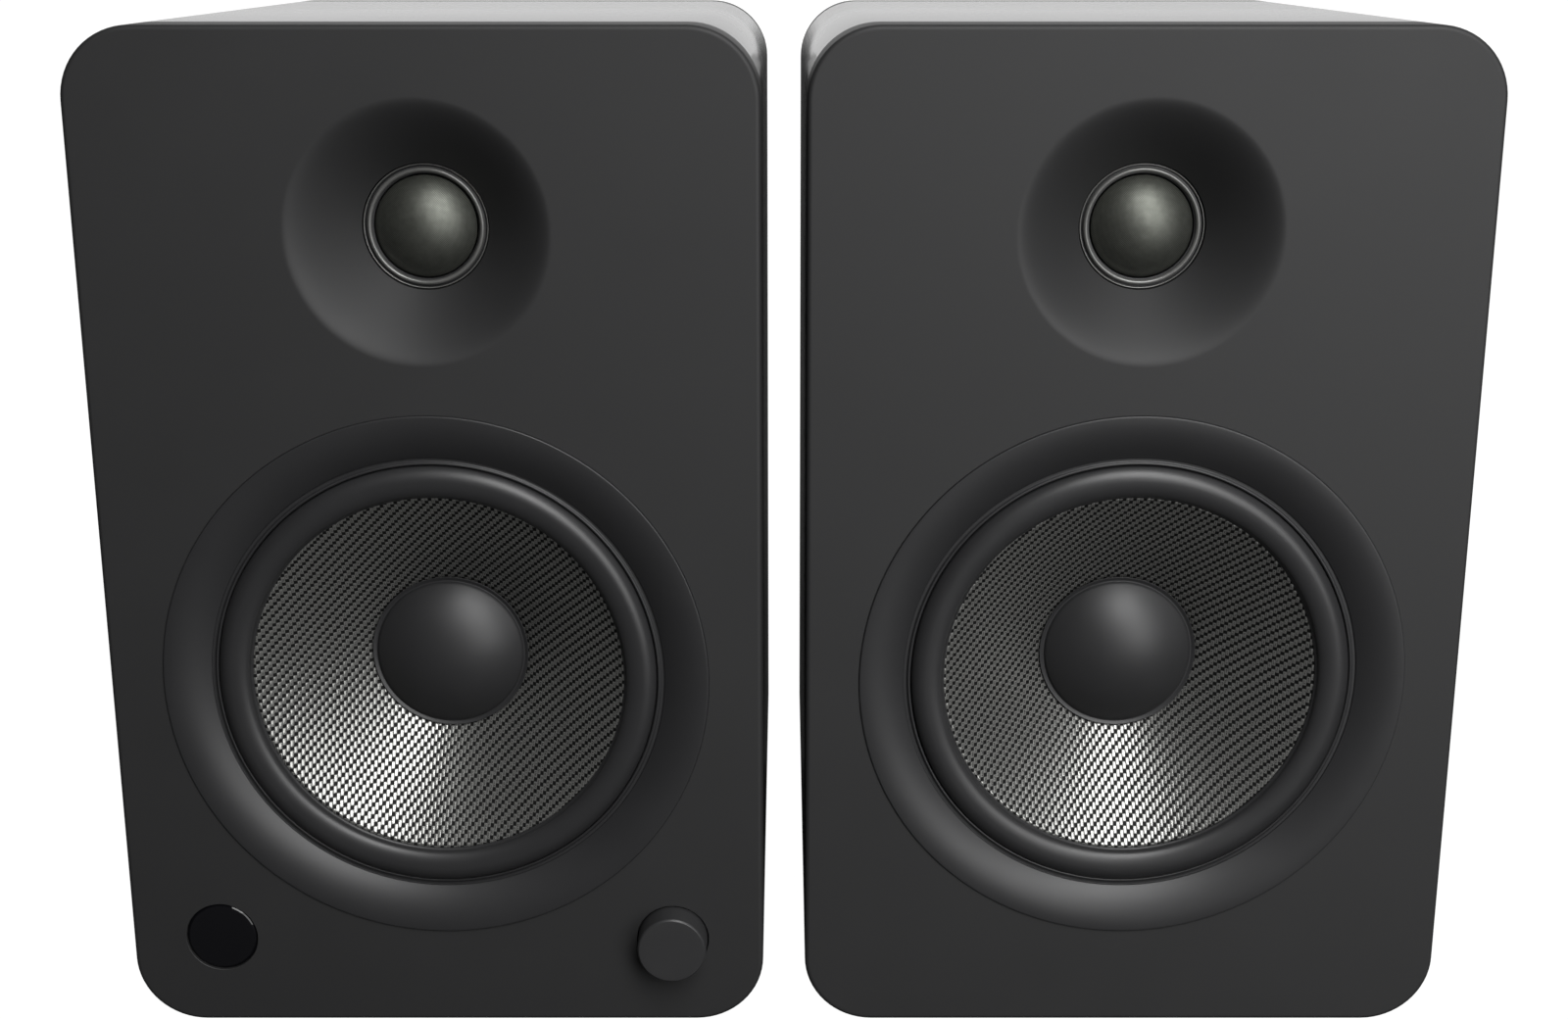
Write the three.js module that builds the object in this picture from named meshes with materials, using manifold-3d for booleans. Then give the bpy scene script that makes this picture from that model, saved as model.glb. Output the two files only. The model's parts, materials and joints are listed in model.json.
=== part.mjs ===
// A pair of powered desktop speakers: an active left cabinet with the amplifier and controls, and a
// passive right cabinet. Each holds a woofer, a soft-dome tweeter in a waveguide and a rear port.
// Millimetres, +Z up. The fronts face -Y, and the pair's bounding box is centred over the origin.
import * as THREE from "three";
import { mergeVertices } from "three/addons/utils/BufferGeometryUtils.js";
import Module from "manifold-3d";

const wasm = await Module();
wasm.setup();

// ---- Driving dimensions ------------------------------------------------------------------------
// Inside one cabinet: x from its middle, y rearward from its front face, z up from its underside.

const GAP = 0.3; // left between two pieces that touch
const CABINET = { width: 178, height: 277.5, depth: 218, corner: 19, wall: 12 };
const PAIR_GAP = 11.8; // between the two cabinets
const BAFFLE = { thick: 20, edge: 1.3 };
const REAR_BOARD = { thick: 12 };
const FOOT = { length: 120, width: 14, height: 2.7, inset: 28 };

const WOOFER = {
  z: 102.4,
  trimOuter: 74.4,
  trimProud: 0.35,
  dishOuter: 73.9,
  dishInner: 62.4,
  dishDepth: 3.2,
  beadOuter: 61.3,
  beadInner: 60.1,
  trimBack: 10.2,
  flangeOuter: 66.5, // of the rubber's flat edge
  flangeFront: 4.7,
  frameBack: 13.5,
  frameThick: 3,
  rollOuter: 59.8,
  rollCrest: 56.1,
  rollInner: 52.4,
  crestDepth: 0.6,
  outerFoot: 4.3, // depth of the roll's outer edge
  innerFoot: 3,
  lipDepth: 3.3,
  coneOuter: 50.9,
  coneFront: 4.3,
  coneRim: 52.3,
  coneNeck: 17.5,
  neckDepth: 29.5,
  capRadius: 22.2,
  capDome: 20.6,
  capCrest: 17.1,
  capRise: 8,
};
const SHEET = { cone: 0.9, cap: 0.8, rubber: 0.8, spider: 0.6, silk: 0.5 };
const MOTOR = {
  basketEnd: 49,
  poleRadius: 16.2,
  formerInner: 16.7,
  formerOuter: 17.1,
  coilOuter: 17.8,
  plateBore: 18.3,
  plateOuter: 45,
  plateThick: 6,
  magnetBore: 25,
  magnetOuter: 48,
  magnetThick: 15.5,
  yokeThick: 6,
  formerFront: 28.8,
  coilFront: 50.5,
  coilBack: 62,
};
const SPIDER = { outer: 44.5, back: 39.9, waves: 3, height: 1.4 };

const TWEETER = {
  z: 224.75,
  mouth: 34.5,
  throat: 16.9,
  depth: 15,
  domeRadius: 12.9,
  domeCrest: 9,
  domeEdge: 16,
  faceOuter: 30,
  motorOuter: 26,
  motorBack: 46,
};

const WINDOW = { x: -64, z: 25.85, radius: 10, inset: 0.6, thick: 3 };
const KNOB = { x: 63.5, z: 25.25, face: 9.55, base: 9.8, proud: 7.5, back: 5.5, hole: 10.1 };
const SHAFT = { radius: 3, bore: 3.1, front: -2.7, back: 25.5 };

const PORT = { z: 218, flange: 30, hole: 26, bore: 18.4, tube: 20.6, inner: 117.6, face: 2 };
const AMP_PLATE = { width: 144, height: 160, z: 104, thick: 3, corner: 5 };
const AMP_CUTOUT = { width: 128, height: 144 };
const TERMINAL_PLATE = { width: 84, height: 62, z: 95, thick: 3, corner: 5 };
const TERMINAL_CUTOUT = { width: 68, height: 46 };
const CONNECTOR_Z = 152;
const POWER_Z = 54;
const RCA = { x: -44, pitch: 16, barrel: 4.1, length: 13, depth: 11.2, width: 11, height: 29 };
const OPTICAL = { x: -18, body: 9.4, flange: 11.4, proud: 1.7, depth: 12 };
const POST = { collar: 6, neck: 3.2, stud: 2.1, capRadius: 6.3, capLength: 13, pitch: 20 };
const ACTIVE_POST_X = 34;
const INLET = { x: -34, width: 27.4, height: 20.2, cup: 16, cavityX: 24.2, cavityZ: 16.6 };
const ROCKER = { x: 36, width: 10, height: 14.8, opening: 10.6, tall: 16.2, tilt: 7 };

const ROUND = { large: 26, medium: 16, small: 10 }; // sides of a turned piece

// ---- Geometry tools ----------------------------------------------------------------------------

// A closed geometry as a solid: shared points merged, empty triangles dropped, faces turned out.
function solidOf(geometry) {
  const positions = new THREE.BufferGeometry();
  const source = geometry.index ? geometry.toNonIndexed() : geometry;
  positions.setAttribute("position", source.getAttribute("position"));
  const merged = mergeVertices(positions, 1e-4);
  const corners = merged.index.array;
  const kept = [];
  for (let i = 0; i < corners.length; i += 3) {
    const [a, b, c] = [corners[i], corners[i + 1], corners[i + 2]];
    if (a !== b && b !== c && c !== a) kept.push(a, b, c);
  }
  if (signedVolume(merged.attributes.position, kept) < 0) kept.reverse();
  return new wasm.Manifold(
    new wasm.Mesh({
      numProp: 3,
      vertProperties: merged.attributes.position.array,
      triVerts: new Uint32Array(kept),
    }),
  );
}

function signedVolume(position, corners) {
  const [a, b, c] = [new THREE.Vector3(), new THREE.Vector3(), new THREE.Vector3()];
  let total = 0;
  for (let i = 0; i < corners.length; i += 3) {
    a.fromBufferAttribute(position, corners[i]);
    b.fromBufferAttribute(position, corners[i + 1]);
    c.fromBufferAttribute(position, corners[i + 2]);
    total += a.dot(b.cross(c)) / 6;
  }
  return total;
}

function geometryOf(solid) {
  const mesh = solid.getMesh();
  const geometry = new THREE.BufferGeometry();
  geometry.setAttribute("position", new THREE.BufferAttribute(mesh.vertProperties, 3));
  geometry.setIndex(new THREE.BufferAttribute(mesh.triVerts, 1));
  geometry.computeVertexNormals();
  return geometry;
}

// The first geometry with the others added or taken away.
const joined = (first, ...rest) =>
  geometryOf(rest.reduce((whole, piece) => whole.add(solidOf(piece)), solidOf(first)));
const cut = (first, ...tools) =>
  geometryOf(tools.reduce((whole, tool) => whole.subtract(solidOf(tool)), solidOf(first)));

// A piece turned about the Y axis from [radius, depth] points that close on themselves or end on
// the axis, at (x, z).
function turned(profile, sides, x = 0, z = 0) {
  const points = profile.map(([radius, depth]) => new THREE.Vector2(radius, depth));
  if (profile[0][0] > 0) points.push(points[0].clone());
  const geometry = geometryOf(solidOf(new THREE.LatheGeometry(points, sides)));
  return geometry.translate(x, 0, z);
}

const disc = (radius, front, back, sides, x = 0, z = 0) =>
  turned([[0, front], [radius, front], [radius, back], [0, back]], sides, x, z);

const ring = (inner, outer, front, back, sides) =>
  turned([[inner, front], [outer, front], [outer, back], [inner, back]], sides);

function box(x0, x1, y0, y1, z0, z1) {
  const geometry = new THREE.BoxGeometry(x1 - x0, y1 - y0, z1 - z0);
  return geometry.translate((x0 + x1) / 2, (y0 + y1) / 2, (z0 + z1) / 2);
}

function roundedRectangle(width, height, radius, middleZ) {
  const [right, low, high] = [width / 2, middleZ - height / 2, middleZ + height / 2];
  const shape = new THREE.Shape();
  shape.moveTo(-right + radius, low);
  shape.absarc(right - radius, low + radius, radius, -Math.PI / 2, 0);
  shape.absarc(right - radius, high - radius, radius, 0, Math.PI / 2);
  shape.absarc(-right + radius, high - radius, radius, Math.PI / 2, Math.PI);
  shape.absarc(-right + radius, low + radius, radius, Math.PI, Math.PI * 1.5);
  return shape;
}

// A flat piece with its outline in XZ, from depth front to depth back.
function plate(shape, front, back, curveSegments = 5) {
  const options = { depth: back - front, bevelEnabled: false, curveSegments };
  return new THREE.ExtrudeGeometry(shape, options).rotateX(Math.PI / 2).translate(0, back, 0);
}

// Points [radius, depth] round a quarter of an ellipse, from its side to its crest.
function quarterRoll(middle, halfWidth, base, crest, steps) {
  const points = [];
  for (let i = 0; i <= steps; i += 1) {
    const angle = (i / steps) * (Math.PI / 2);
    points.push([
      middle + halfWidth * Math.cos(angle),
      base + (crest - base) * Math.sin(angle),
    ]);
  }
  return points;
}

// Points [radius, depth] over a shallow dome of the given edge, from its crest outwards.
function domeProfile(edgeRadius, crest, edgeDepth, inset, steps) {
  const rise = edgeDepth - crest;
  const sphere = (edgeRadius * edgeRadius + rise * rise) / (2 * rise);
  const edgeAngle = Math.asin(edgeRadius / sphere);
  const points = [];
  for (let i = 0; i <= steps; i += 1) {
    const angle = (i / steps) * edgeAngle;
    const reach = sphere - inset;
    points.push([reach * Math.sin(angle), crest + sphere - reach * Math.cos(angle)]);
  }
  return points;
}

// ---- Materials ---------------------------------------------------------------------------------

const paint = (color, roughness, metalness = 0) => () =>
  new THREE.MeshStandardMaterial({ color, roughness, metalness });

const SATIN_BLACK = paint(0x2b2b2c, 0.55);
const MOULDED_BLACK = paint(0x1d1d1e, 0.5);
const GLOSS_BLACK = paint(0x08080a, 0.08);
const RUBBER = paint(0x161616, 0.7);
const WOVEN_FIBRE = paint(0x3a3a39, 0.35, 0.3);
const SILK = paint(0x34362f, 0.6);
const SPIDER_CLOTH = paint(0x8a6a2f, 0.9);
const CAST_FRAME = paint(0x26272a, 0.5, 0.6);
const STEEL = paint(0x9a9ca0, 0.35, 0.9);
const FERRITE = paint(0x2c2c2e, 0.85);
const COPPER = paint(0xa8663a, 0.4, 0.8);
const PANEL = paint(0x1b1b1d, 0.45, 0.7);
const CIRCUIT = paint(0x1f4a33, 0.6);
const GOLD_PLATE = paint(0xb8923e, 0.3, 0.9);
const RED_PLASTIC = paint(0x8e1d1d, 0.35);

// ---- Cabinet -----------------------------------------------------------------------------------

const middleZ = CABINET.height / 2;
const outline = () =>
  roundedRectangle(CABINET.width, CABINET.height, CABINET.corner, middleZ);
const rearFace = CABINET.depth + GAP; // where a panel on the outside of the rear board starts

function cabinetShell() {
  const shape = outline();
  const twice = 2 * CABINET.wall;
  const corner = CABINET.corner - CABINET.wall;
  shape.holes.push(
    roundedRectangle(CABINET.width - twice, CABINET.height - twice, corner, middleZ),
  );
  const back = CABINET.depth - REAR_BOARD.thick - GAP;
  return plate(shape, BAFFLE.thick + GAP, back);
}

// The tweeter's waveguide as a tool: it turns in softly at the face and then runs almost straight.
function waveguideTool() {
  const flare = [0, 0.08, 0.25, 0.5, 0.75, 1].map((inward) => [
    TWEETER.mouth + (TWEETER.throat - TWEETER.mouth) * inward,
    TWEETER.depth * inward ** 1.3,
  ]);
  const past = BAFFLE.thick + 1;
  const profile = [[0, -1], [TWEETER.mouth, -1], ...flare, [TWEETER.throat, past], [0, past]];
  return turned(profile, ROUND.large, 0, TWEETER.z);
}

function frontBaffle(controlHoles) {
  const inner = roundedRectangle(
    CABINET.width - 2 * BAFFLE.edge,
    CABINET.height - 2 * BAFFLE.edge,
    CABINET.corner - BAFFLE.edge,
    middleZ,
  );
  const block = new THREE.ExtrudeGeometry(inner, {
    depth: BAFFLE.thick,
    bevelThickness: BAFFLE.edge,
    bevelSize: BAFFLE.edge,
    bevelSegments: 1,
    curveSegments: 5,
  });
  block.rotateX(Math.PI / 2).translate(0, BAFFLE.thick + BAFFLE.edge, 0);
  const past = BAFFLE.thick + 1;
  const reach = CABINET.height + 1;
  const behind = box(-reach, reach, BAFFLE.thick, 2 * BAFFLE.thick, -1, reach);
  const seat = WOOFER.trimOuter + GAP;
  return cut(
    block,
    behind,
    disc(seat, -1, WOOFER.frameBack + GAP, ROUND.large, 0, WOOFER.z),
    disc(WOOFER.flangeOuter, 0, past, ROUND.large, 0, WOOFER.z),
    waveguideTool(),
    ...controlHoles,
  );
}

function controlHoles() {
  const seat = WINDOW.inset + WINDOW.thick + GAP;
  const sides = ROUND.medium;
  return [
    disc(WINDOW.radius + GAP, -1, seat, sides, WINDOW.x, WINDOW.z),
    disc(6, 0, BAFFLE.thick + 1, ROUND.small, WINDOW.x, WINDOW.z),
    disc(KNOB.hole, -1, KNOB.back + 3, sides, KNOB.x, KNOB.z),
    disc(4, 0, BAFFLE.thick + 1, ROUND.small, KNOB.x, KNOB.z),
  ];
}

function rearBoard(cutout, cutoutZ) {
  const shape = outline();
  shape.holes.push(roundedRectangle(cutout.width, cutout.height, 4, cutoutZ));
  const board = plate(shape, CABINET.depth - REAR_BOARD.thick, CABINET.depth);
  const past = CABINET.depth + 1;
  return cut(board, disc(PORT.hole, 200, past, ROUND.medium, 0, PORT.z));
}

function portTube() {
  const face = CABINET.depth + GAP;
  const outerFlare = PORT.hole - GAP;
  return turned(
    [
      [PORT.flange, face],
      [outerFlare, face],
      [outerFlare, face - 9],
      [PORT.tube, face - 18],
      [PORT.tube, PORT.inner + 6],
      [PORT.tube + 4, PORT.inner + 1.4],
      [PORT.tube + 2.8, PORT.inner],
      [PORT.bore, PORT.inner + 7],
      [PORT.bore, face - 15],
      [PORT.bore + 1.6, face - 5],
      [PORT.bore + 5.6, face + 0.3],
      [PORT.bore + 9.1, face + PORT.face],
      [PORT.flange, face + PORT.face],
    ],
    ROUND.medium,
  );
}

function footStrip() {
  const half = FOOT.length / 2;
  return box(-half, half, 0, FOOT.width, -FOOT.height - GAP, -GAP);
}

// ---- Woofer ------------------------------------------------------------------------------------

// The trim ring: proud of the face, dished, with a small bead round its inner edge.
function trimRing() {
  const { trimOuter, trimProud, dishOuter, dishInner, dishDepth } = WOOFER;
  const steps = 4;
  const dish = [];
  for (let i = 0; i <= steps; i += 1) {
    const inward = i / steps;
    dish.push([
      dishOuter + (dishInner - dishOuter) * inward,
      -trimProud + (dishDepth + trimProud) * inward * inward,
    ]);
  }
  const groove = dishDepth + 0.5;
  const overRubber = WOOFER.flangeFront - GAP;
  const outsideRubber = WOOFER.flangeOuter + 1;
  return turned(
    [
      [trimOuter, 0.15],
      ...dish,
      [dishInner - 0.4, groove],
      [WOOFER.beadOuter, groove],
      [WOOFER.beadOuter - 0.3, dishDepth],
      [WOOFER.beadInner + 0.3, dishDepth],
      [WOOFER.beadInner, groove],
      [WOOFER.beadInner, overRubber],
      [outsideRubber, overRubber],
      [outsideRubber, WOOFER.trimBack],
      [trimOuter, WOOFER.trimBack],
    ],
    ROUND.large,
  );
}

// A cast frame: front flange with a raised land under the rubber's edge, sloping wall with six
// windows, spider ledge and motor seat.
function basket() {
  const flangeFront = WOOFER.frameBack - WOOFER.frameThick;
  const landFront = WOOFER.flangeFront + SHEET.rubber + GAP;
  const landOuter = WOOFER.flangeOuter + 0.5;
  const inner = WOOFER.rollOuter + 1;
  const frame = turned(
    [
      [inner, landFront],
      [landOuter, landFront],
      [landOuter, flangeFront],
      [WOOFER.trimOuter, flangeFront],
      [WOOFER.trimOuter, WOOFER.frameBack],
      [65.5, WOOFER.frameBack],
      [52.8, 42],
      [49, 46],
      [49, MOTOR.basketEnd],
      [20, MOTOR.basketEnd],
      [20, 46.6],
      [44.5, 46.6],
      [46, 42.2],
      [41, 42.2],
      [41, SPIDER.back + GAP],
      [49.6, SPIDER.back + GAP],
      [inner + 1.6, WOOFER.frameBack],
      [inner, WOOFER.frameBack - 1],
    ],
    ROUND.large,
  );
  const windows = [];
  const count = 6;
  const halfAngle = THREE.MathUtils.degToRad(20);
  for (let i = 0; i < count; i += 1) {
    const middle = ((i + 0.5) / count) * Math.PI * 2;
    const wedge = new THREE.Shape();
    wedge.absarc(0, 0, 30, middle - halfAngle, middle + halfAngle);
    wedge.absarc(0, 0, 80, middle + halfAngle, middle - halfAngle, true);
    wedge.closePath();
    windows.push(plate(wedge, 17.5, 38, 1));
  }
  return cut(frame, ...windows);
}

// The rubber half-roll between the frame and the cone.
function surround() {
  const { flangeOuter, flangeFront, rollOuter, rollCrest, rollInner } = WOOFER;
  const { crestDepth, outerFoot, innerFoot, coneOuter, lipDepth } = WOOFER;
  const skin = SHEET.rubber;
  const steps = 2;
  const roll = (thin) => {
    const crest = crestDepth + thin;
    const outerHalf = rollOuter - rollCrest - thin;
    const innerHalf = rollInner - rollCrest + thin;
    return [
      ...quarterRoll(rollCrest, outerHalf, outerFoot + thin, crest, steps),
      ...quarterRoll(rollCrest, innerHalf, innerFoot + thin, crest, steps).reverse().slice(1),
    ];
  };
  return turned(
    [
      [flangeOuter, flangeFront],
      [rollOuter + GAP, flangeFront],
      ...roll(0),
      [coneOuter, lipDepth],
      [coneOuter, lipDepth + skin - 0.1],
      ...roll(skin).reverse(),
      [rollOuter - 0.4, flangeFront + skin],
      [flangeOuter, flangeFront + skin],
    ],
    ROUND.large,
  );
}

function cone() {
  const { coneRim, coneFront, coneOuter, coneNeck, neckDepth } = WOOFER;
  const skin = SHEET.cone;
  return turned(
    [
      [coneRim, coneFront],
      [coneOuter - 0.3, coneFront],
      [coneNeck, neckDepth],
      [coneNeck, neckDepth + 1.2],
      [coneOuter - 0.8, coneFront + skin],
      [coneRim, coneFront + skin],
    ],
    ROUND.large,
  );
}

// The dust cap: a dome with a narrow sloping rim that follows the cone.
function dustCap() {
  const { capRadius, capDome, capCrest, capRise } = WOOFER;
  const edgeDepth = capCrest + capRise;
  const steps = 3;
  return turned(
    [
      ...domeProfile(capDome, capCrest, edgeDepth, 0, steps),
      [capDome + 0.3, edgeDepth + 0.8],
      [capRadius, edgeDepth + 0.1],
      [capRadius - 0.1, edgeDepth + 0.5],
      [capDome, edgeDepth + 1.5],
      ...domeProfile(capDome, capCrest, edgeDepth, SHEET.cap, steps).reverse(),
    ],
    ROUND.medium,
  );
}

function voiceCoil() {
  return turned(
    [
      [MOTOR.formerInner, MOTOR.formerFront],
      [MOTOR.formerOuter, MOTOR.formerFront],
      [MOTOR.formerOuter, MOTOR.coilFront],
      [MOTOR.coilOuter, MOTOR.coilFront],
      [MOTOR.coilOuter, MOTOR.coilBack],
      [MOTOR.formerInner, MOTOR.coilBack],
    ],
    ROUND.medium,
  );
}

function spider() {
  const inner = MOTOR.formerOuter + GAP;
  const steps = 2 * SPIDER.waves;
  const faces = [[], []];
  for (let i = 0; i <= steps; i += 1) {
    const radius = inner + ((SPIDER.outer - inner) * i) / steps;
    const back = SPIDER.back - (i % 2) * SPIDER.height;
    faces[0].push([radius, back - SHEET.spider]);
    faces[1].unshift([radius, back]);
  }
  return turned([...faces[0], ...faces[1]], ROUND.medium);
}

const topPlateFront = MOTOR.basketEnd + GAP;
const magnetFront = topPlateFront + MOTOR.plateThick + GAP;
const yokeFront = magnetFront + MOTOR.magnetThick + GAP;

const topPlate = () =>
  ring(MOTOR.plateBore, MOTOR.plateOuter, topPlateFront, magnetFront - GAP, ROUND.medium);
const magnet = () =>
  ring(MOTOR.magnetBore, MOTOR.magnetOuter, magnetFront, yokeFront - GAP, ROUND.medium);
const yoke = () =>
  turned(
    [
      [0, topPlateFront + 0.5],
      [MOTOR.poleRadius, topPlateFront + 0.5],
      [MOTOR.poleRadius, yokeFront],
      [MOTOR.plateOuter, yokeFront],
      [MOTOR.plateOuter, yokeFront + MOTOR.yokeThick],
      [0, yokeFront + MOTOR.yokeThick],
    ],
    ROUND.medium,
  );

// ---- Tweeter -----------------------------------------------------------------------------------

function tweeterFaceplate() {
  const behind = BAFFLE.thick + GAP;
  return turned(
    [
      [13.9, 16.2],
      [14.5, 15.4],
      [TWEETER.throat - GAP, 15.4],
      [TWEETER.throat - GAP, behind],
      [TWEETER.faceOuter, behind],
      [TWEETER.faceOuter, behind + 3],
      [15.2, behind + 3],
      [15.2, 18.2],
      [13.9, 18.2],
    ],
    ROUND.medium,
  );
}

// The silk dome with its small edge roll and the former of its coil.
function tweeterDome() {
  const { domeRadius, domeCrest, domeEdge } = TWEETER;
  return turned(
    [
      ...domeProfile(domeRadius, domeCrest, domeEdge, 0, 4),
      [13.2, 15.7],
      [13.6, 16.2],
      [13.5, 16.8],
      [12.6, 16.8],
      [12.6, 27],
      [12.2, 27],
      ...domeProfile(domeRadius, domeCrest, domeEdge, SHEET.silk, 4).reverse(),
    ],
    ROUND.medium,
  );
}

function tweeterMotor() {
  const front = BAFFLE.thick + 2 * GAP + 3;
  return turned(
    [
      [0, 21],
      [11.5, 21],
      [11.5, 32],
      [13.4, 32],
      [13.4, front],
      [TWEETER.motorOuter, front],
      [TWEETER.motorOuter, TWEETER.motorBack],
      [0, TWEETER.motorBack],
    ],
    ROUND.medium,
  );
}

// ---- Controls ----------------------------------------------------------------------------------

function sensorWindow() {
  const { radius, inset, thick } = WINDOW;
  const rim = [[radius - 0.4, inset], [radius, inset + 0.4], [radius, inset + thick]];
  return turned([[0, inset], ...rim, [0, inset + thick]], ROUND.medium);
}

function volumeKnob() {
  const { face, base, proud, back } = KNOB;
  return turned(
    [
      [0, -proud],
      [face - 0.5, -proud],
      [face, 0.5 - proud],
      [base, 0],
      [base, back],
      [SHAFT.bore, back],
      [SHAFT.bore, SHAFT.front - GAP],
      [0, SHAFT.front - GAP],
    ],
    ROUND.medium,
  );
}

const volumeShaft = () => disc(SHAFT.radius, SHAFT.front, SHAFT.back, ROUND.small);

function encoderBody() {
  const behind = BAFFLE.thick + GAP;
  const pressTravel = 2;
  const body = box(-7, 7, behind, SHAFT.back + 5, -7, 7);
  return cut(body, disc(SHAFT.bore, 0, SHAFT.back + pressTravel, ROUND.small));
}

// ---- Rear panels and connectors ----------------------------------------------------------------

// A rear panel with its openings: a list of [x, z, radius] or [x, z, width, height].
function rearPanel(panel, openings) {
  const front = rearFace;
  const back = rearFace + panel.thick;
  const blank = roundedRectangle(panel.width, panel.height, panel.corner, panel.z);
  const tools = openings.map(([x, z, size, height]) => {
    if (height === undefined) return disc(size, front - 1, back + 1, ROUND.small, x, z);
    return box(x - size / 2, x + size / 2, front - 1, back + 1, z - height / 2, z + height / 2);
  });
  return cut(plate(blank, front, back, 3), ...tools);
}

const panelBack = rearFace + AMP_PLATE.thick; // the outer face of either rear panel
const postHole = POST.neck + 0.4;

function bindingPost() {
  const collar = panelBack + GAP;
  const collarBack = collar + 4;
  return turned(
    [
      [0, 206],
      [POST.neck, 206],
      [POST.neck, collar],
      [POST.collar, collar],
      [POST.collar, collarBack],
      [POST.stud, collarBack],
      [POST.stud, collarBack + POST.capLength - 1.5],
      [0, collarBack + POST.capLength - 1.5],
    ],
    ROUND.small,
  );
}

// A screw cap with six finger grooves and a blind bore for the stud.
function postCap() {
  const front = panelBack + GAP + 4 + GAP;
  const back = front + POST.capLength;
  const bore = POST.stud + 0.2;
  const blank = turned(
    [
      [0, back - 1.2],
      [bore, back - 1.2],
      [bore, front],
      [POST.capRadius, front],
      [POST.capRadius, back - 1],
      [POST.capRadius - 1, back],
      [0, back],
    ],
    18,
  );
  const grooves = [];
  for (let i = 0; i < 6; i += 1) {
    const angle = (i / 6) * Math.PI * 2;
    const [x, z] = [Math.cos(angle) * 7.3, Math.sin(angle) * 7.3];
    grooves.push(disc(1.6, front + 2, back + 1, 6, x, z));
  }
  return cut(blank, ...grooves);
}

function rcaJacks() {
  const inside = rearFace - GAP;
  const block = box(
    -RCA.width / 2,
    RCA.width / 2,
    inside - RCA.depth,
    inside,
    -RCA.height / 2,
    RCA.height / 2,
  );
  const heights = [-RCA.pitch / 2, RCA.pitch / 2];
  const end = inside + RCA.length;
  const barrels = heights.map((z) => disc(RCA.barrel, inside - 1, end, ROUND.small, 0, z));
  const bores = heights.map((z) => disc(1.7, end - 9, end + 1, ROUND.small, 0, z));
  return cut(joined(block, ...barrels), ...bores);
}

function opticalJack() {
  const [half, flange] = [OPTICAL.body / 2, OPTICAL.flange / 2];
  const outside = panelBack + GAP;
  const back = outside + OPTICAL.proud;
  return cut(
    joined(
      box(-half, half, rearFace - OPTICAL.depth, outside + 0.5, -half, half),
      box(-flange, flange, outside, back, -flange, flange),
    ),
    box(-3.2, 3.2, back - 1.2, back + 1, -3.2, 3.2),
  );
}

// A three-pin mains inlet: flange, cup and blades in one moulding.
function mainsInlet() {
  const [x, z] = [INLET.width / 2, INLET.height / 2];
  const outside = panelBack + GAP;
  const back = outside + 2;
  const floor = back - INLET.cup;
  const cup = joined(
    box(-x, x, floor - 2.5, back - 1, -z, z),
    box(-x - 3, x + 3, outside, back, -z - 3, z + 3),
  );
  const { cavityX, cavityZ } = INLET;
  const hollow = box(
    -cavityX / 2,
    cavityX / 2,
    floor,
    back + 1,
    -cavityZ / 2,
    cavityZ / 2,
  );
  const blade = (bx, bz) => box(bx - 1, bx + 1, floor - 1, floor + 11, bz - 2, bz + 2);
  return joined(cut(cup, hollow), blade(-7, -1), blade(7, -1), blade(0, 4));
}

const rockerPivot = panelBack + 0.6; // depth of the rocker's hinge line

function rockerBezel() {
  const [inX, inZ] = [ROCKER.opening / 2, ROCKER.tall / 2];
  const outside = panelBack + GAP;
  const flangeBack = outside + 1.5;
  const floor = rockerPivot - 9;
  const body = joined(
    box(-inX - 2, inX + 2, floor - 6, outside + 1, -inZ - 2, inZ + 2),
    box(-inX - 3.2, inX + 3.2, outside, flangeBack, -inZ - 3.2, inZ + 3.2),
  );
  return cut(body, box(-inX, inX, floor, flangeBack + 1, -inZ, inZ));
}

// The rocker, seen from its side, tipped to one of its two positions about the hinge line.
function powerRocker() {
  const half = ROCKER.height / 2;
  const side = new THREE.Shape();
  side.moveTo(-half, 1.6);
  side.lineTo(-half, -1.8);
  side.lineTo(-2, -6);
  side.lineTo(2, -6);
  side.lineTo(half, -1.8);
  side.lineTo(half, 1.6);
  side.lineTo(0, 0.6);
  side.closePath();
  const body = new THREE.ExtrudeGeometry(side, { depth: ROCKER.width, bevelEnabled: false });
  // The outline's first axis becomes +Z and its second becomes +Y.
  body.translate(0, 0, -ROCKER.width / 2).applyMatrix4(
    new THREE.Matrix4().makeBasis(
      new THREE.Vector3(0, 0, 1),
      new THREE.Vector3(0, 1, 0),
      new THREE.Vector3(-1, 0, 0),
    ),
  );
  return body.rotateX(THREE.MathUtils.degToRad(-ROCKER.tilt));
}

// ---- Electronics inside ------------------------------------------------------------------------

function ampBoard() {
  const front = 190;
  const legs = [];
  for (const x of [-46, 46]) {
    for (const z of [84, 170]) legs.push(disc(2.5, front + 1, rearFace - GAP, 8, x, z));
  }
  return joined(
    box(-52, 52, front, front + 1.6, 78, 176),
    ...legs,
    disc(11, front - 26, front + 0.5, ROUND.small, -24, 104),
    disc(11, front - 26, front + 0.5, ROUND.small, 4, 104),
    box(20, 46, front - 14, front + 0.5, 92, 116),
    box(-30, 30, front - 18, front + 0.5, 140, 148),
  );
}

function transformer() {
  const floor = CABINET.wall + GAP;
  return joined(
    box(-34, 34, 118, 154, floor, floor + 2.5),
    box(-25, 25, 120, 152, floor + 2, floor + 44),
    box(-17, 17, 111, 161, floor + 9, floor + 37),
  );
}

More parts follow.
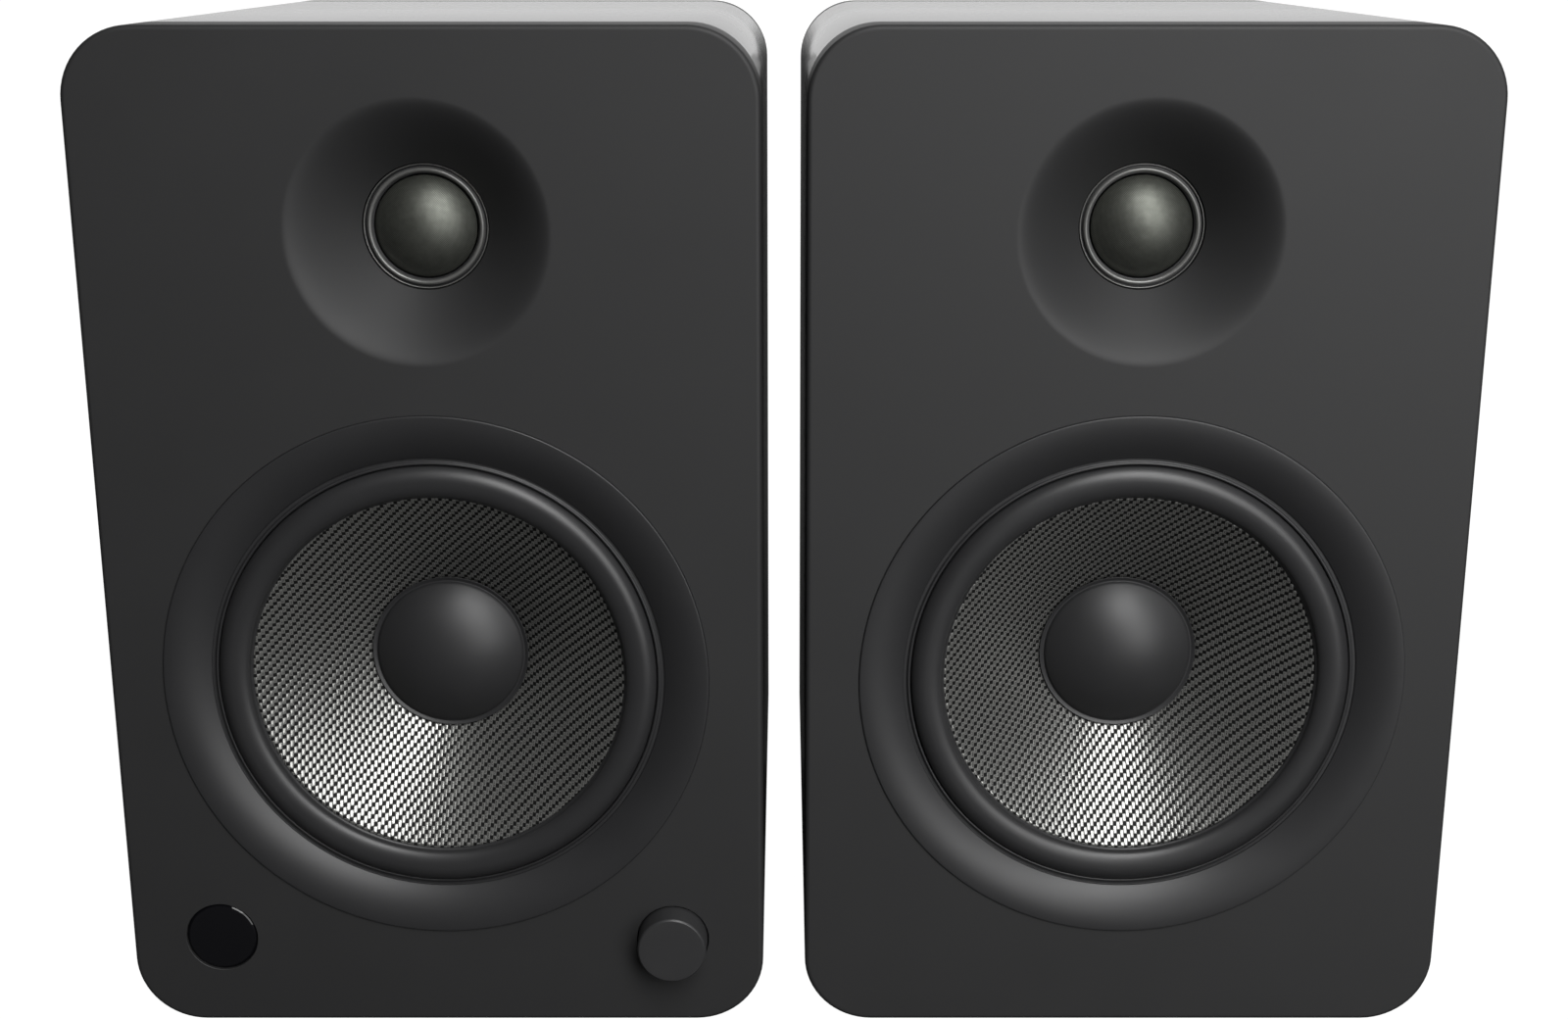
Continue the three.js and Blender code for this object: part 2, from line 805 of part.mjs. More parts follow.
function crossoverBoard() {
  const floor = CABINET.wall + GAP;
  const uprightDisc = (radius, x, y, height) =>
    disc(radius, 0, height, ROUND.small).rotateX(Math.PI / 2).translate(x, y, floor + 7.2);
  const legs = [[-40, 112], [40, 112], [-40, 168], [40, 168]].map(([x, y]) =>
    box(x - 2.5, x + 2.5, y - 2.5, y + 2.5, floor, floor + 6.5),
  );
  return joined(
    box(-46, 46, 106, 174, floor + 6, floor + 7.6),
    ...legs,
    uprightDisc(16, -22, 136, 16),
    box(4, 36, 116, 130, floor + 7, floor + 21),
    box(4, 36, 138, 148, floor + 7, floor + 17),
  );
}

// ---- Assembly ----------------------------------------------------------------------------------

function add(group, name, geometry, material, x = 0, y = 0, z = 0) {
  const mesh = new THREE.Mesh(geometry, material());
  mesh.name = name;
  mesh.position.set(x, y, z);
  group.add(mesh);
}

// The pieces that both cabinets have; side is "active" or "passive".
function cabinetAndDrivers(side, holes, cutout, cutoutZ) {
  const group = new THREE.Group();
  const piece = (name, geometry, material, ...place) =>
    add(group, `${side}_${name}`, geometry, material, ...place);

  piece("cabinet_shell", cabinetShell(), SATIN_BLACK);
  piece("front_baffle", frontBaffle(holes), SATIN_BLACK);
  piece("rear_board", rearBoard(cutout, cutoutZ), SATIN_BLACK);
  piece("port_tube", portTube(), MOULDED_BLACK, 0, 0, PORT.z);
  piece("front_foot", footStrip(), RUBBER, 0, FOOT.inset, 0);
  piece("rear_foot", footStrip(), RUBBER, 0, CABINET.depth - FOOT.inset - FOOT.width, 0);

  const woofer = [0, 0, WOOFER.z];
  piece("woofer_trim_ring", trimRing(), MOULDED_BLACK, ...woofer);
  piece("woofer_basket", basket(), CAST_FRAME, ...woofer);
  piece("woofer_surround", surround(), RUBBER, ...woofer);
  piece("woofer_cone", cone(), WOVEN_FIBRE, ...woofer);
  piece("woofer_dust_cap", dustCap(), MOULDED_BLACK, ...woofer);
  piece("woofer_voice_coil", voiceCoil(), COPPER, ...woofer);
  piece("woofer_spider", spider(), SPIDER_CLOTH, ...woofer);
  piece("woofer_top_plate", topPlate(), STEEL, ...woofer);
  piece("woofer_magnet", magnet(), FERRITE, ...woofer);
  piece("woofer_yoke", yoke(), STEEL, ...woofer);

  const tweeter = [0, 0, TWEETER.z];
  piece("tweeter_faceplate", tweeterFaceplate(), MOULDED_BLACK, ...tweeter);
  piece("tweeter_dome", tweeterDome(), SILK, ...tweeter);
  piece("tweeter_motor", tweeterMotor(), FERRITE, ...tweeter);
  return group;
}

function postPair(group, side, middleX, z) {
  const half = POST.pitch / 2;
  for (const [colour, material, x] of [["red", RED_PLASTIC, -half], ["black", MOULDED_BLACK, half]]) {
    add(group, `${side}_post_${colour}`, bindingPost(), GOLD_PLATE, middleX + x, 0, z);
    add(group, `${side}_post_cap_${colour}`, postCap(), material, middleX + x, 0, z);
  }
}

function activeSpeaker() {
  const group = cabinetAndDrivers("active", controlHoles(), AMP_CUTOUT, AMP_PLATE.z);
  add(group, "sensor_window", sensorWindow(), GLOSS_BLACK, WINDOW.x, 0, WINDOW.z);
  add(group, "volume_knob", volumeKnob(), MOULDED_BLACK, KNOB.x, 0, KNOB.z);
  add(group, "volume_shaft", volumeShaft(), STEEL, KNOB.x, 0, KNOB.z);
  add(group, "encoder_body", encoderBody(), STEEL, KNOB.x, 0, KNOB.z);

  const half = POST.pitch / 2;
  const rcaHole = RCA.barrel + 0.5;
  const panel = rearPanel(AMP_PLATE, [
    [RCA.x, CONNECTOR_Z - RCA.pitch / 2, rcaHole],
    [RCA.x, CONNECTOR_Z + RCA.pitch / 2, rcaHole],
    [OPTICAL.x, CONNECTOR_Z, OPTICAL.body + 0.8, OPTICAL.body + 0.8],
    [ACTIVE_POST_X - half, CONNECTOR_Z, postHole],
    [ACTIVE_POST_X + half, CONNECTOR_Z, postHole],
    [INLET.x, POWER_Z, INLET.width + 0.8, INLET.height + 0.8],
    [ROCKER.x, POWER_Z, ROCKER.opening + 4.8, ROCKER.tall + 4.8],
  ]);
  add(group, "amp_plate", panel, PANEL);
  add(group, "rca_jacks", rcaJacks(), GOLD_PLATE, RCA.x, 0, CONNECTOR_Z);
  add(group, "optical_jack", opticalJack(), MOULDED_BLACK, OPTICAL.x, 0, CONNECTOR_Z);
  add(group, "mains_inlet", mainsInlet(), MOULDED_BLACK, INLET.x, 0, POWER_Z);
  add(group, "rocker_bezel", rockerBezel(), MOULDED_BLACK, ROCKER.x, 0, POWER_Z);
  add(group, "power_rocker", powerRocker(), MOULDED_BLACK, ROCKER.x, rockerPivot, POWER_Z);
  add(group, "amp_board", ampBoard(), CIRCUIT);
  add(group, "transformer", transformer(), STEEL);
  postPair(group, "active", ACTIVE_POST_X, CONNECTOR_Z);
  return group;
}

function passiveSpeaker() {
  const group = cabinetAndDrivers("passive", [], TERMINAL_CUTOUT, TERMINAL_PLATE.z);
  const half = POST.pitch / 2;
  const panel = rearPanel(TERMINAL_PLATE, [
    [-half, TERMINAL_PLATE.z, postHole],
    [half, TERMINAL_PLATE.z, postHole],
  ]);
  add(group, "terminal_plate", panel, PANEL);
  add(group, "crossover_board", crossoverBoard(), CIRCUIT);
  postPair(group, "passive", 0, TERMINAL_PLATE.z);
  return group;
}

const pair = new THREE.Group();
const active = activeSpeaker();
const passive = passiveSpeaker();
const halfPitch = (CABINET.width + PAIR_GAP) / 2;
const capEnd = panelBack + 2 * GAP + 4 + POST.capLength; // the rearmost point
const middleY = (capEnd - KNOB.proud) / 2;
active.position.set(-halfPitch, -middleY, FOOT.height + GAP);
passive.position.set(halfPitch, -middleY, FOOT.height + GAP);
pair.add(active, passive);

export default pair;
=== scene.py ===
"""Looks for a pair of black powered desktop speakers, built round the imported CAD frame.

Shapes are written in millimetres from a cabinet's own corner: x from its middle, y rearward from
its front face, z up from its underside. Cabinet.point() turns them into the frame's metres.
"""

import json
import math

import bmesh
import bpy
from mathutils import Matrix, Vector


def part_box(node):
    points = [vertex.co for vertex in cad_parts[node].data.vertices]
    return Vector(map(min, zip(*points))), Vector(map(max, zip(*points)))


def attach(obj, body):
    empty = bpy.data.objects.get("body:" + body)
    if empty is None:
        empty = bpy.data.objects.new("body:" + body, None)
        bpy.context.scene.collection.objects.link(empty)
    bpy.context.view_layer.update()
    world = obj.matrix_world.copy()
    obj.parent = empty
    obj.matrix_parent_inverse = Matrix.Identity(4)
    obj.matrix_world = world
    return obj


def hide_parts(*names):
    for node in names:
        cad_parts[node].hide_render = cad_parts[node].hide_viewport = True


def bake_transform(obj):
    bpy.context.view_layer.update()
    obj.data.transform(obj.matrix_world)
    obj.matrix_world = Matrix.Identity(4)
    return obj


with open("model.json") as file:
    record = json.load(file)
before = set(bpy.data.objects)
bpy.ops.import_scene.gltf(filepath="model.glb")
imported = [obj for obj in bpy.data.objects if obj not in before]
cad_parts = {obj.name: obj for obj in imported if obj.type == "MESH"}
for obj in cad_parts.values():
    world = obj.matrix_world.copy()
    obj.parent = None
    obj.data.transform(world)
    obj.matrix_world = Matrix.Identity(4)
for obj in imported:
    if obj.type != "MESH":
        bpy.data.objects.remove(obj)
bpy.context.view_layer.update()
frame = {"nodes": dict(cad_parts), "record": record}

MM = 0.001
SIDES = ("active", "passive")
ROOT = {"active": "active_speaker", "passive": "passive_speaker"}


# ---- Places ------------------------------------------------------------------------------------

class Cabinet:
    """One speaker's own frame, read from its CAD pieces."""

    def __init__(self, side):
        self.side = side
        self.body = ROOT[side]
        low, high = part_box(side + "_front_baffle")
        self.origin = Vector(((low.x + high.x) / 2, low.y, low.z))
        self.width = (high.x - low.x) / MM
        self.height = (high.z - low.z) / MM
        self.board = (high.y - low.y) / MM
        shell_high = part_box(side + "_cabinet_shell")[1]
        rear_low, rear_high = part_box(side + "_rear_board")
        self.shell_back = (shell_high.y - low.y) / MM
        self.rear_front = (rear_low.y - low.y) / MM
        self.depth = (rear_high.y - low.y) / MM

    def point(self, x, y, z):
        return self.origin + Vector((x, y, z)) * MM

    def middle(self, node):
        """(x, z) of a CAD node's middle, in this cabinet's millimetres."""
        low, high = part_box(node)
        middle = ((low + high) / 2 - self.origin) / MM
        return middle.x, middle.z

    def depths(self, node):
        """(front, back) of a CAD node, in this cabinet's millimetres."""
        low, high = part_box(node)
        return (low.y - self.origin.y) / MM, (high.y - self.origin.y) / MM


# ---- Mesh tools --------------------------------------------------------------------------------

SHARP = math.radians(32)


def piece_from(mesh_data, name, material, body, replaces=(), slot=None):
    """A bmesh as a named piece that rides on a body."""
    bmesh.ops.recalc_face_normals(mesh_data, faces=mesh_data.faces)
    mesh = bpy.data.meshes.new(name)
    mesh_data.to_mesh(mesh)
    mesh_data.free()
    mesh.shade_smooth()
    mesh.set_sharp_from_angle(angle=SHARP)
    piece = bpy.data.objects.new(name, mesh)
    bpy.context.scene.collection.objects.link(piece)
    piece.data.materials.append(material)
    if body:
        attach(piece, body)
    if replaces:
        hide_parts(*replaces)
    return piece


def rounded(corners, closed=False, steps=5):
    """(a, b) points, each with an optional third value, the radius that rounds that corner."""
    made = []
    count = len(corners)
    for i, corner in enumerate(corners):
        here = Vector(corner[:2])
        ends = not closed and i in (0, count - 1)
        if len(corner) < 3 or ends:
            made.append(tuple(here))
            continue
        radius = corner[2]
        before = (Vector(corners[i - 1][:2]) - here)
        after = (Vector(corners[(i + 1) % count][:2]) - here)
        reach = min(before.length, after.length) * 0.49
        before.normalize()
        after.normalize()
        half = before.angle(after) / 2
        if math.pi / 2 - half < 0.02:
            made.append(tuple(here))
            continue
        reach = min(reach, radius / math.tan(half))
        radius = reach * math.tan(half)
        centre = here + (before + after).normalized() * (radius / math.sin(half))
        start = here + before * reach - centre
        end = here + after * reach - centre
        turn = start.angle_signed(end)
        for step in range(steps + 1):
            angle = -turn * step / steps
            spun = Vector((
                start.x * math.cos(angle) - start.y * math.sin(angle),
                start.x * math.sin(angle) + start.y * math.cos(angle),
            ))
            made.append(tuple(centre + spun))
    return made


def arc(centre_r, centre_y, half_r, half_y, from_deg, to_deg, steps):
    """Points on an ellipse round (centre_r, centre_y), 0 degrees outwards and 90 towards the front."""
    made = []
    for step in range(steps + 1):
        angle = math.radians(from_deg + (to_deg - from_deg) * step / steps)
        made.append((centre_r + half_r * math.cos(angle), centre_y - half_y * math.sin(angle)))
    return made


def dome(edge_radius, crest, edge_depth, steps, inset=0.0):
    """[radius, depth] points over a shallow dome, from its crest outwards."""
    rise = edge_depth - crest
    sphere = (edge_radius ** 2 + rise ** 2) / (2 * rise)
    edge_angle = math.asin(edge_radius / sphere)
    made = []
    for step in range(steps + 1):
        angle = edge_angle * step / steps
        reach = sphere - inset
        made.append((reach * math.sin(angle), crest + sphere - reach * math.cos(angle)))
    return made


def turned(name, cabinet, place, profile, material, body, sides=192, form=None, **says):
    """A piece turned about the Y axis at place (x, z) from [radius, depth] points.

    The points close on themselves or end on the axis. form(radius, depth, angle) may change the
    radius round the turn, for flutes and sockets.
    """
    made = bmesh.new()
    rings = []
    for radius, depth in profile:
        if radius < 1e-4:
            rings.append([made.verts.new(cabinet.point(place[0], depth, place[1]))])
            continue
        ring = []
        for k in range(sides):
            angle = 2 * math.pi * k / sides
            reach = form(radius, depth, angle) if form else radius
            x, z = place[0] + reach * math.cos(angle), place[1] + reach * math.sin(angle)
            ring.append(made.verts.new(cabinet.point(x, depth, z)))
        rings.append(ring)
    pairs = list(zip(rings, rings[1:]))
    if profile[0][0] > 1e-4:
        pairs.append((rings[-1], rings[0]))
    for first, second in pairs:
        bridge(made, first, second)
    return piece_from(made, name, material, body, **says)


def bridge(made, first, second):
    """Faces between two rings of vertices, where either may be a single vertex."""
    count = max(len(first), len(second))
    if count == 1:
        return
    for k in range(count):
        corners = [first[k % len(first)], first[(k + 1) % len(first)],
                   second[(k + 1) % len(second)], second[k % len(second)]]
        unique = list(dict.fromkeys(corners))
        made.faces.new(unique)


def circle(radius, x, z, sides=160):
    return [
        (x + radius * math.cos(2 * math.pi * k / sides), z + radius * math.sin(2 * math.pi * k / sides))
        for k in range(sides)
    ]


def rectangle(width, height, radius, x, z, steps=16):
    """Points round a rectangle with rounded corners, anticlockwise from its lower right."""
    made = []
    for corner in range(4):
        side_x = 1 if corner in (0, 1) else -1
        side_z = 1 if corner in (1, 2) else -1
        centre_x = x + side_x * (width / 2 - radius)
        centre_z = z + side_z * (height / 2 - radius)
        for step in range(steps + 1):
            angle = math.pi / 2 * (corner - 1 + step / steps)
            made.append((centre_x + radius * math.cos(angle), centre_z + radius * math.sin(angle)))
    return made


def board(name, cabinet, outline, holes, material, body, **says):
    """A flat piece: outline and each hole are lists of (loop, depth) from one face to the other.

    A hole that ends in None is blind: its last loop is closed.
    """
    made = bmesh.new()
    front_edges, back_edges = [], []
    for rings in [outline, *holes]:
        blind = rings[-1] is None
        loops = [
            [made.verts.new(cabinet.point(x, depth, z)) for x, z in loop]
            for loop, depth in rings if loop
        ] if not blind else [
            [made.verts.new(cabinet.point(x, depth, z)) for x, z in loop]
            for loop, depth in rings[:-1]
        ]
        for first, second in zip(loops, loops[1:]):
            bridge(made, first, second)
        if len(loops) == 1:
            close_loop(made, loops[0])
        front_edges += loop_edges(made, loops[0])
        if blind:
            made.faces.new(loops[-1])
        else:
            back_edges += loop_edges(made, loops[-1])
    bmesh.ops.triangle_fill(made, use_beauty=True, edges=front_edges)
    bmesh.ops.triangle_fill(made, use_beauty=True, edges=back_edges)
    return piece_from(made, name, material, body, **says)


def close_loop(made, loop):
    for k, vertex in enumerate(loop):
        made.edges.new((vertex, loop[(k + 1) % len(loop)]))


def loop_edges(made, loop):
    return [made.edges.get((v, loop[(k + 1) % len(loop)])) for k, v in enumerate(loop)]


def extruded(name, cabinet, outline, x0, x1, bevel, material, body, **says):
    """A piece with its outline in (y, z), from x0 to x1, with its edges bevelled."""
    made = bmesh.new()
    ends = [
        [made.verts.new(cabinet.point(x, y, z)) for y, z in outline]
        for x in (x0, x1)
    ]
    bridge(made, *ends)
    for end in ends:
        made.faces.new(end)
    bmesh.ops.recalc_face_normals(made, faces=made.faces)
    sharp = [e for e in made.edges if e.calc_face_angle(0) > math.radians(20)]
    bmesh.ops.bevel(made, geom=sharp, offset=bevel * MM, segments=4, profile=0.5, affect="EDGES",
                    clamp_overlap=True)
    return piece_from(made, name, material, body, **says)


def block(name, cabinet, x, y, z, bevel, material, body, **says):
    """A box with bevelled edges from (low, high) pairs."""
    outline = [(y[0], z[0]), (y[1], z[0]), (y[1], z[1]), (y[0], z[1])]
    return extruded(name, cabinet, outline, x[0], x[1], bevel, material, body, **says)


# ---- Materials ---------------------------------------------------------------------------------

def add_node(tree, kind, inputs=None, **settings):
    """A shader node; inputs are values or sockets, by name or number."""
    made = tree.nodes.new("ShaderNode" + kind)
    for key, value in settings.items():
        setattr(made, key, value)
    for key, value in (inputs or {}).items():
        if isinstance(value, bpy.types.NodeSocket):
            tree.links.new(value, made.inputs[key])
        else:
            made.inputs[key].default_value = value
    return made


def math_node(tree, operation, first, second=0.0, third=0.0):
    inputs = {0: first, 1: second}
    if operation in ("MULTIPLY_ADD", "SMOOTH_MIN", "WRAP", "COMPARE"):
        inputs[2] = third
    return add_node(tree, "Math", inputs, operation=operation).outputs[0]


def mapped(tree, value, low, high, smooth=False):
    """A 0 to 1 value spread over low to high."""
    kind = "SMOOTHSTEP" if smooth else "LINEAR"
    made = add_node(tree, "MapRange", {0: value, 3: low, 4: high}, interpolation_type=kind)
    return made.outputs[0]


def noise(tree, where, scale, detail=3.0, rough=0.55):
    inputs = {"Vector": where, "Scale": scale, "Detail": detail, "Roughness": rough}
    return add_node(tree, "TexNoise", inputs).outputs["Fac"]


def mixed(tree, share, first, second):
    made = add_node(tree, "Mix", {0: share, 6: first, 7: second}, data_type="RGBA")
    return made.outputs[2]


def new_material(name):
    material = bpy.data.materials.new(name)
    material.use_nodes = True
    tree = material.node_tree
    return material, tree, tree.nodes["Principled BSDF"]


def set_values(shader, **values):
    for key, value in values.items():
        shader.inputs[key.replace("_", " ")].default_value = value


def shade(colour, factor):
    return (*(min(1.0, c * factor) for c in colour), 1.0)


def surface(name, colour, rough, vary=0.12, rough_vary=0.06, grain=0.5, grain_depth=0.006,
            blotch=25.0, streak=None, **values):
    """A moulded, painted or metal surface.

    grain is the size in mm of its fine bumps and grain_depth their height; blotch is the size in
    mm of its slow changes of tone. streak, an axis number, draws the grain out along that axis.
    """
    material, tree, shader = new_material(name)
    where = add_node(tree, "TexCoord").outputs["Object"]
    fine_where = where
    if streak is not None:
        stretch = [1.0, 1.0, 1.0]
        stretch[streak] = 0.04
        fine_where = add_node(tree, "Mapping", {"Vector": where, "Scale": stretch}).outputs[0]
    slow = noise(tree, where, 1 / (blotch * MM), 4.0)
    fine = noise(tree, fine_where, 1 / (grain * MM), 2.0)
    tone = math_node(tree, "MULTIPLY_ADD", slow, 0.6, math_node(tree, "MULTIPLY", fine, 0.4))
    base = mixed(tree, tone, shade(colour, 1 - vary), shade(colour, 1 + vary))
    tree.links.new(base, shader.inputs["Base Color"])
    roughness = mapped(tree, tone, rough - rough_vary, rough + rough_vary)
    tree.links.new(roughness, shader.inputs["Roughness"])
    bump = add_node(tree, "Bump", {"Height": fine, "Strength": 0.6, "Distance": grain_depth * MM})
    tree.links.new(bump.outputs[0], shader.inputs["Normal"])
    set_values(shader, **values)
    return material


def tilted_normal(tree, slope_x, slope_z):
    """The surface's own normal, tipped along X and Z by two slopes."""
    own = add_node(tree, "NewGeometry").outputs["Normal"]
    tilt = add_node(tree, "CombineXYZ", {0: slope_x, 1: 0.0, 2: slope_z}).outputs[0]
    total = add_node(tree, "VectorMath", {0: own, 1: tilt}, operation="ADD").outputs[0]
    return add_node(tree, "VectorMath", {0: total}, operation="NORMALIZE").outputs[0]


def yarn_grid(tree, cell):
    """(column number, place across the column, height in cells) of a weave seen from the front."""
    where = add_node(tree, "TexCoord").outputs["Object"]
    axes = add_node(tree, "SeparateXYZ", {0: where}).outputs
    across = math_node(tree, "MULTIPLY", axes[0], 1 / (cell * MM))
    up = math_node(tree, "MULTIPLY", axes[2], 1 / (cell * MM))
    return math_node(tree, "FLOOR", across), math_node(tree, "FRACT", across), up, where


def falling(tree, offset, power):
    """Nought in the middle of a yarn, rising to one at its edges, half a cell away."""
    whole = math_node(tree, "ABSOLUTE", math_node(tree, "MULTIPLY", offset, 2.0))
    return math_node(tree, "POWER", whole, power)


def twill(name, cell, pale, dark, **values):
    """A two-over-one twill: pale upright yarns that float over two dark ones at a time."""
    material, tree, shader = new_material(name)
    column, across, up, where = yarn_grid(tree, cell)
    stepped = math_node(tree, "SUBTRACT", up, column)
    phase = math_node(tree, "FLOORED_MODULO", stepped, 3.0)
    on_top = math_node(tree, "GREATER_THAN", phase, 1.0)
    along = math_node(tree, "MULTIPLY", math_node(tree, "SUBTRACT", phase, 1.0), 0.5)

    # Across a yarn and along its float the surface is a low arch. Its colour is also darkened towards the
    # yarn's edges and the float's ends: painted shade in the creases where yarns dip under each other.
    side = math_node(tree, "SUBTRACT", across, 0.5)
    ahead = math_node(tree, "SUBTRACT", along, 0.5)
    side_fall = falling(tree, side, 4.0)
    ahead_fall = falling(tree, ahead, 6.0)
    crease_shade = math_node(tree, "SUBTRACT", 1.0, math_node(tree, "MAXIMUM", side_fall, ahead_fall))
    streaks = add_node(tree, "Mapping", {"Vector": where, "Scale": (1.0, 1.0, 0.15)}).outputs[0]
    fibre = noise(tree, streaks, 1 / (0.16 * MM), 2.0)
    # Pale yarn colour: the painted crease shade times a random fibre tone; the shaded share also sets
    # metal, roughness and sheen.
    lit = math_node(tree, "MULTIPLY", crease_shade, mapped(tree, fibre, 0.45, 1.2))
    pale_yarn_shaded = math_node(tree, "MULTIPLY", on_top, lit)
    tree.links.new(mixed(tree, pale_yarn_shaded, dark, pale), shader.inputs["Base Color"])
    tree.links.new(pale_yarn_shaded, shader.inputs["Metallic"])
    tree.links.new(mapped(tree, pale_yarn_shaded, 0.6, 0.18), shader.inputs["Roughness"])
    tree.links.new(mapped(tree, pale_yarn_shaded, 0.15, 0.5), shader.inputs["Specular IOR Level"])

    slope_x = math_node(tree, "MULTIPLY", side, math_node(tree, "MULTIPLY", on_top, 0.30))
    slope_z = math_node(tree, "MULTIPLY", ahead, math_node(tree, "MULTIPLY", on_top, 0.34))
    tree.links.new(tilted_normal(tree, slope_x, slope_z), shader.inputs["Normal"])
    set_values(shader, **values)
    return material


def plain_weave(name, cell, pale, dark, rough, **values):
    """A fine one-over-one weave under a soft coating."""
    material, tree, shader = new_material(name)
    column, across, up, where = yarn_grid(tree, cell)
    row = math_node(tree, "FLOOR", up)
    upward = math_node(tree, "FRACT", up)
    odd = math_node(tree, "FLOORED_MODULO", math_node(tree, "ADD", column, row), 2.0)
    side = math_node(tree, "SUBTRACT", across, 0.5)
    ahead = math_node(tree, "SUBTRACT", upward, 0.5)
    # Each crossing's colour fades to dark towards its edges: painted shade in the creases between threads.
    # Alternate crossings are lighter, and a slow noise varies the tone.
    far = math_node(tree, "MAXIMUM", math_node(tree, "ABSOLUTE", side), math_node(tree, "ABSOLUTE", ahead))
    fall = math_node(tree, "POWER", math_node(tree, "MULTIPLY", far, 2.0), 3.0)
    crease_shade = math_node(tree, "SUBTRACT", 1.0, fall)
    slow = noise(tree, where, 1 / (2.5 * MM), 3.0)
    thread = math_node(tree, "MULTIPLY_ADD", odd, 0.25, 0.5)
    lit = math_node(tree, "MULTIPLY", crease_shade, thread)
    tone = math_node(tree, "MULTIPLY", lit, mapped(tree, slow, 0.7, 1.4))
    tree.links.new(mixed(tree, tone, dark, pale), shader.inputs["Base Color"])
    tree.links.new(mapped(tree, tone, rough + 0.1, rough - 0.05), shader.inputs["Roughness"])
    slope_x = math_node(tree, "MULTIPLY", side, 0.35)
    slope_z = math_node(tree, "MULTIPLY", ahead, 0.35)
    tree.links.new(tilted_normal(tree, slope_x, slope_z), shader.inputs["Normal"])
    set_values(shader, **values)
    return material


LOOKS = {
    "cabinet_paint": surface("satin_black_paint", (0.015, 0.015, 0.0155), 0.62, grain=0.9,
                             grain_depth=0.004, blotch=30.0),
    "shell_paint": surface("satin_black_shell", (0.015, 0.015, 0.0155), 0.50, grain=0.9,
                           grain_depth=0.003, blotch=30.0, Coat_Weight=0.6,
                           Coat_Roughness=0.12),
    "satin_trim": surface("satin_black_trim", (0.018, 0.018, 0.019), 0.44, grain=0.35,
                          grain_depth=0.003, blotch=20.0),
    "moulded_black": surface("moulded_black", (0.020, 0.020, 0.021), 0.44, grain=0.3,
                             grain_depth=0.006, blotch=12.0),
    "gloss_lens": surface("gloss_black_lens", (0.004, 0.004, 0.005), 0.06, rough_vary=0.02,
                          grain=3.0, grain_depth=0.0005, Specular_IOR_Level=0.35),
    "rocker_gloss": surface("semi_gloss_black", (0.010, 0.010, 0.010), 0.28, grain=0.4,
                            grain_depth=0.002, blotch=8.0),
    "knob_black": surface("knob_black", (0.028, 0.028, 0.029), 0.38, grain=0.25,
                          grain_depth=0.002, blotch=6.0),
    "foot_rubber": surface("foot_rubber", (0.018, 0.018, 0.018), 0.78, grain=0.5,
                           grain_depth=0.02, blotch=6.0),
    "surround_rubber": surface("surround_rubber", (0.020, 0.020, 0.021), 0.40, grain=0.4,
                               grain_depth=0.003, blotch=15.0),
    "dust_cap": surface("dust_cap_black", (0.019, 0.019, 0.020), 0.46, grain=0.3,
                        grain_depth=0.002, blotch=10.0),
    "woven_fibre": twill("woven_fibre", 0.93, (0.36, 0.36, 0.345, 1.0), (0.003, 0.003, 0.003, 1.0)),
    "woven_silk": plain_weave("woven_silk", 0.28, (0.24, 0.25, 0.22, 1.0),
                              (0.02, 0.02, 0.018, 1.0), 0.45, Metallic=0.85),
    "spider_cloth": plain_weave("spider_cloth", 0.7, (0.40, 0.27, 0.10, 1.0),
                                (0.20, 0.12, 0.04, 1.0), 0.8),
    "cast_frame": surface("cast_frame_black", (0.02, 0.02, 0.022), 0.5, grain=0.6,
                          grain_depth=0.02, Metallic=0.2),
    "plated_steel": surface("zinc_plated_steel", (0.55, 0.55, 0.56), 0.3, grain=0.3, streak=0,
                            grain_depth=0.002, Metallic=1.0),
    "transformer_steel": surface("varnished_steel", (0.28, 0.28, 0.29), 0.4, grain=0.5, streak=0,
                                 grain_depth=0.03, Metallic=0.9),
    "ferrite": surface("ferrite_grey", (0.05, 0.05, 0.052), 0.7, grain=0.4, grain_depth=0.02),
    "copper_winding": surface("enamelled_copper", (0.55, 0.22, 0.09), 0.3, grain=0.3, streak=0,
                              grain_depth=0.04, Metallic=1.0),
    "panel_metal": surface("black_anodised", (0.024, 0.024, 0.026), 0.42, grain=0.35,
                           grain_depth=0.006, blotch=18.0, Metallic=0.35),
    "circuit_board": surface("solder_mask_green", (0.015, 0.10, 0.05), 0.4, grain=1.5,
                             grain_depth=0.01),
    "gold_plate": surface("gold_plated_brass", (0.83, 0.60, 0.24), 0.2, grain=0.25,
                          grain_depth=0.002, Metallic=1.0),
    "red_plastic": surface("red_plastic", (0.36, 0.012, 0.012), 0.3, grain=0.5,
                           grain_depth=0.003, blotch=5.0),
}
EXTRA = {
    "tweeter_ring": surface("tweeter_ring_grey", (0.16, 0.16, 0.155), 0.34, grain=0.3,
                            grain_depth=0.002, blotch=5.0, Metallic=0.5),
    "white_plastic": surface("white_plastic", (0.62, 0.61, 0.58), 0.35, grain=0.5,
                             grain_depth=0.003, blotch=5.0),
    "screw_black": surface("black_oxide_steel", (0.03, 0.03, 0.032), 0.35, grain=0.3,
                           grain_depth=0.004, blotch=3.0, Metallic=0.8),
    "nickel": surface("nickel_plated", (0.62, 0.60, 0.56), 0.24, grain=0.3,
                      grain_depth=0.002, Metallic=1.0),
}


# ---- Cabinet -----------------------------------------------------------------------------------

CORNER = 19.0
WALL = 12.0
EDGE = 1.3  # the roundover of the front and rear edges
SEAM = 0.12  # the bevel where two boards meet


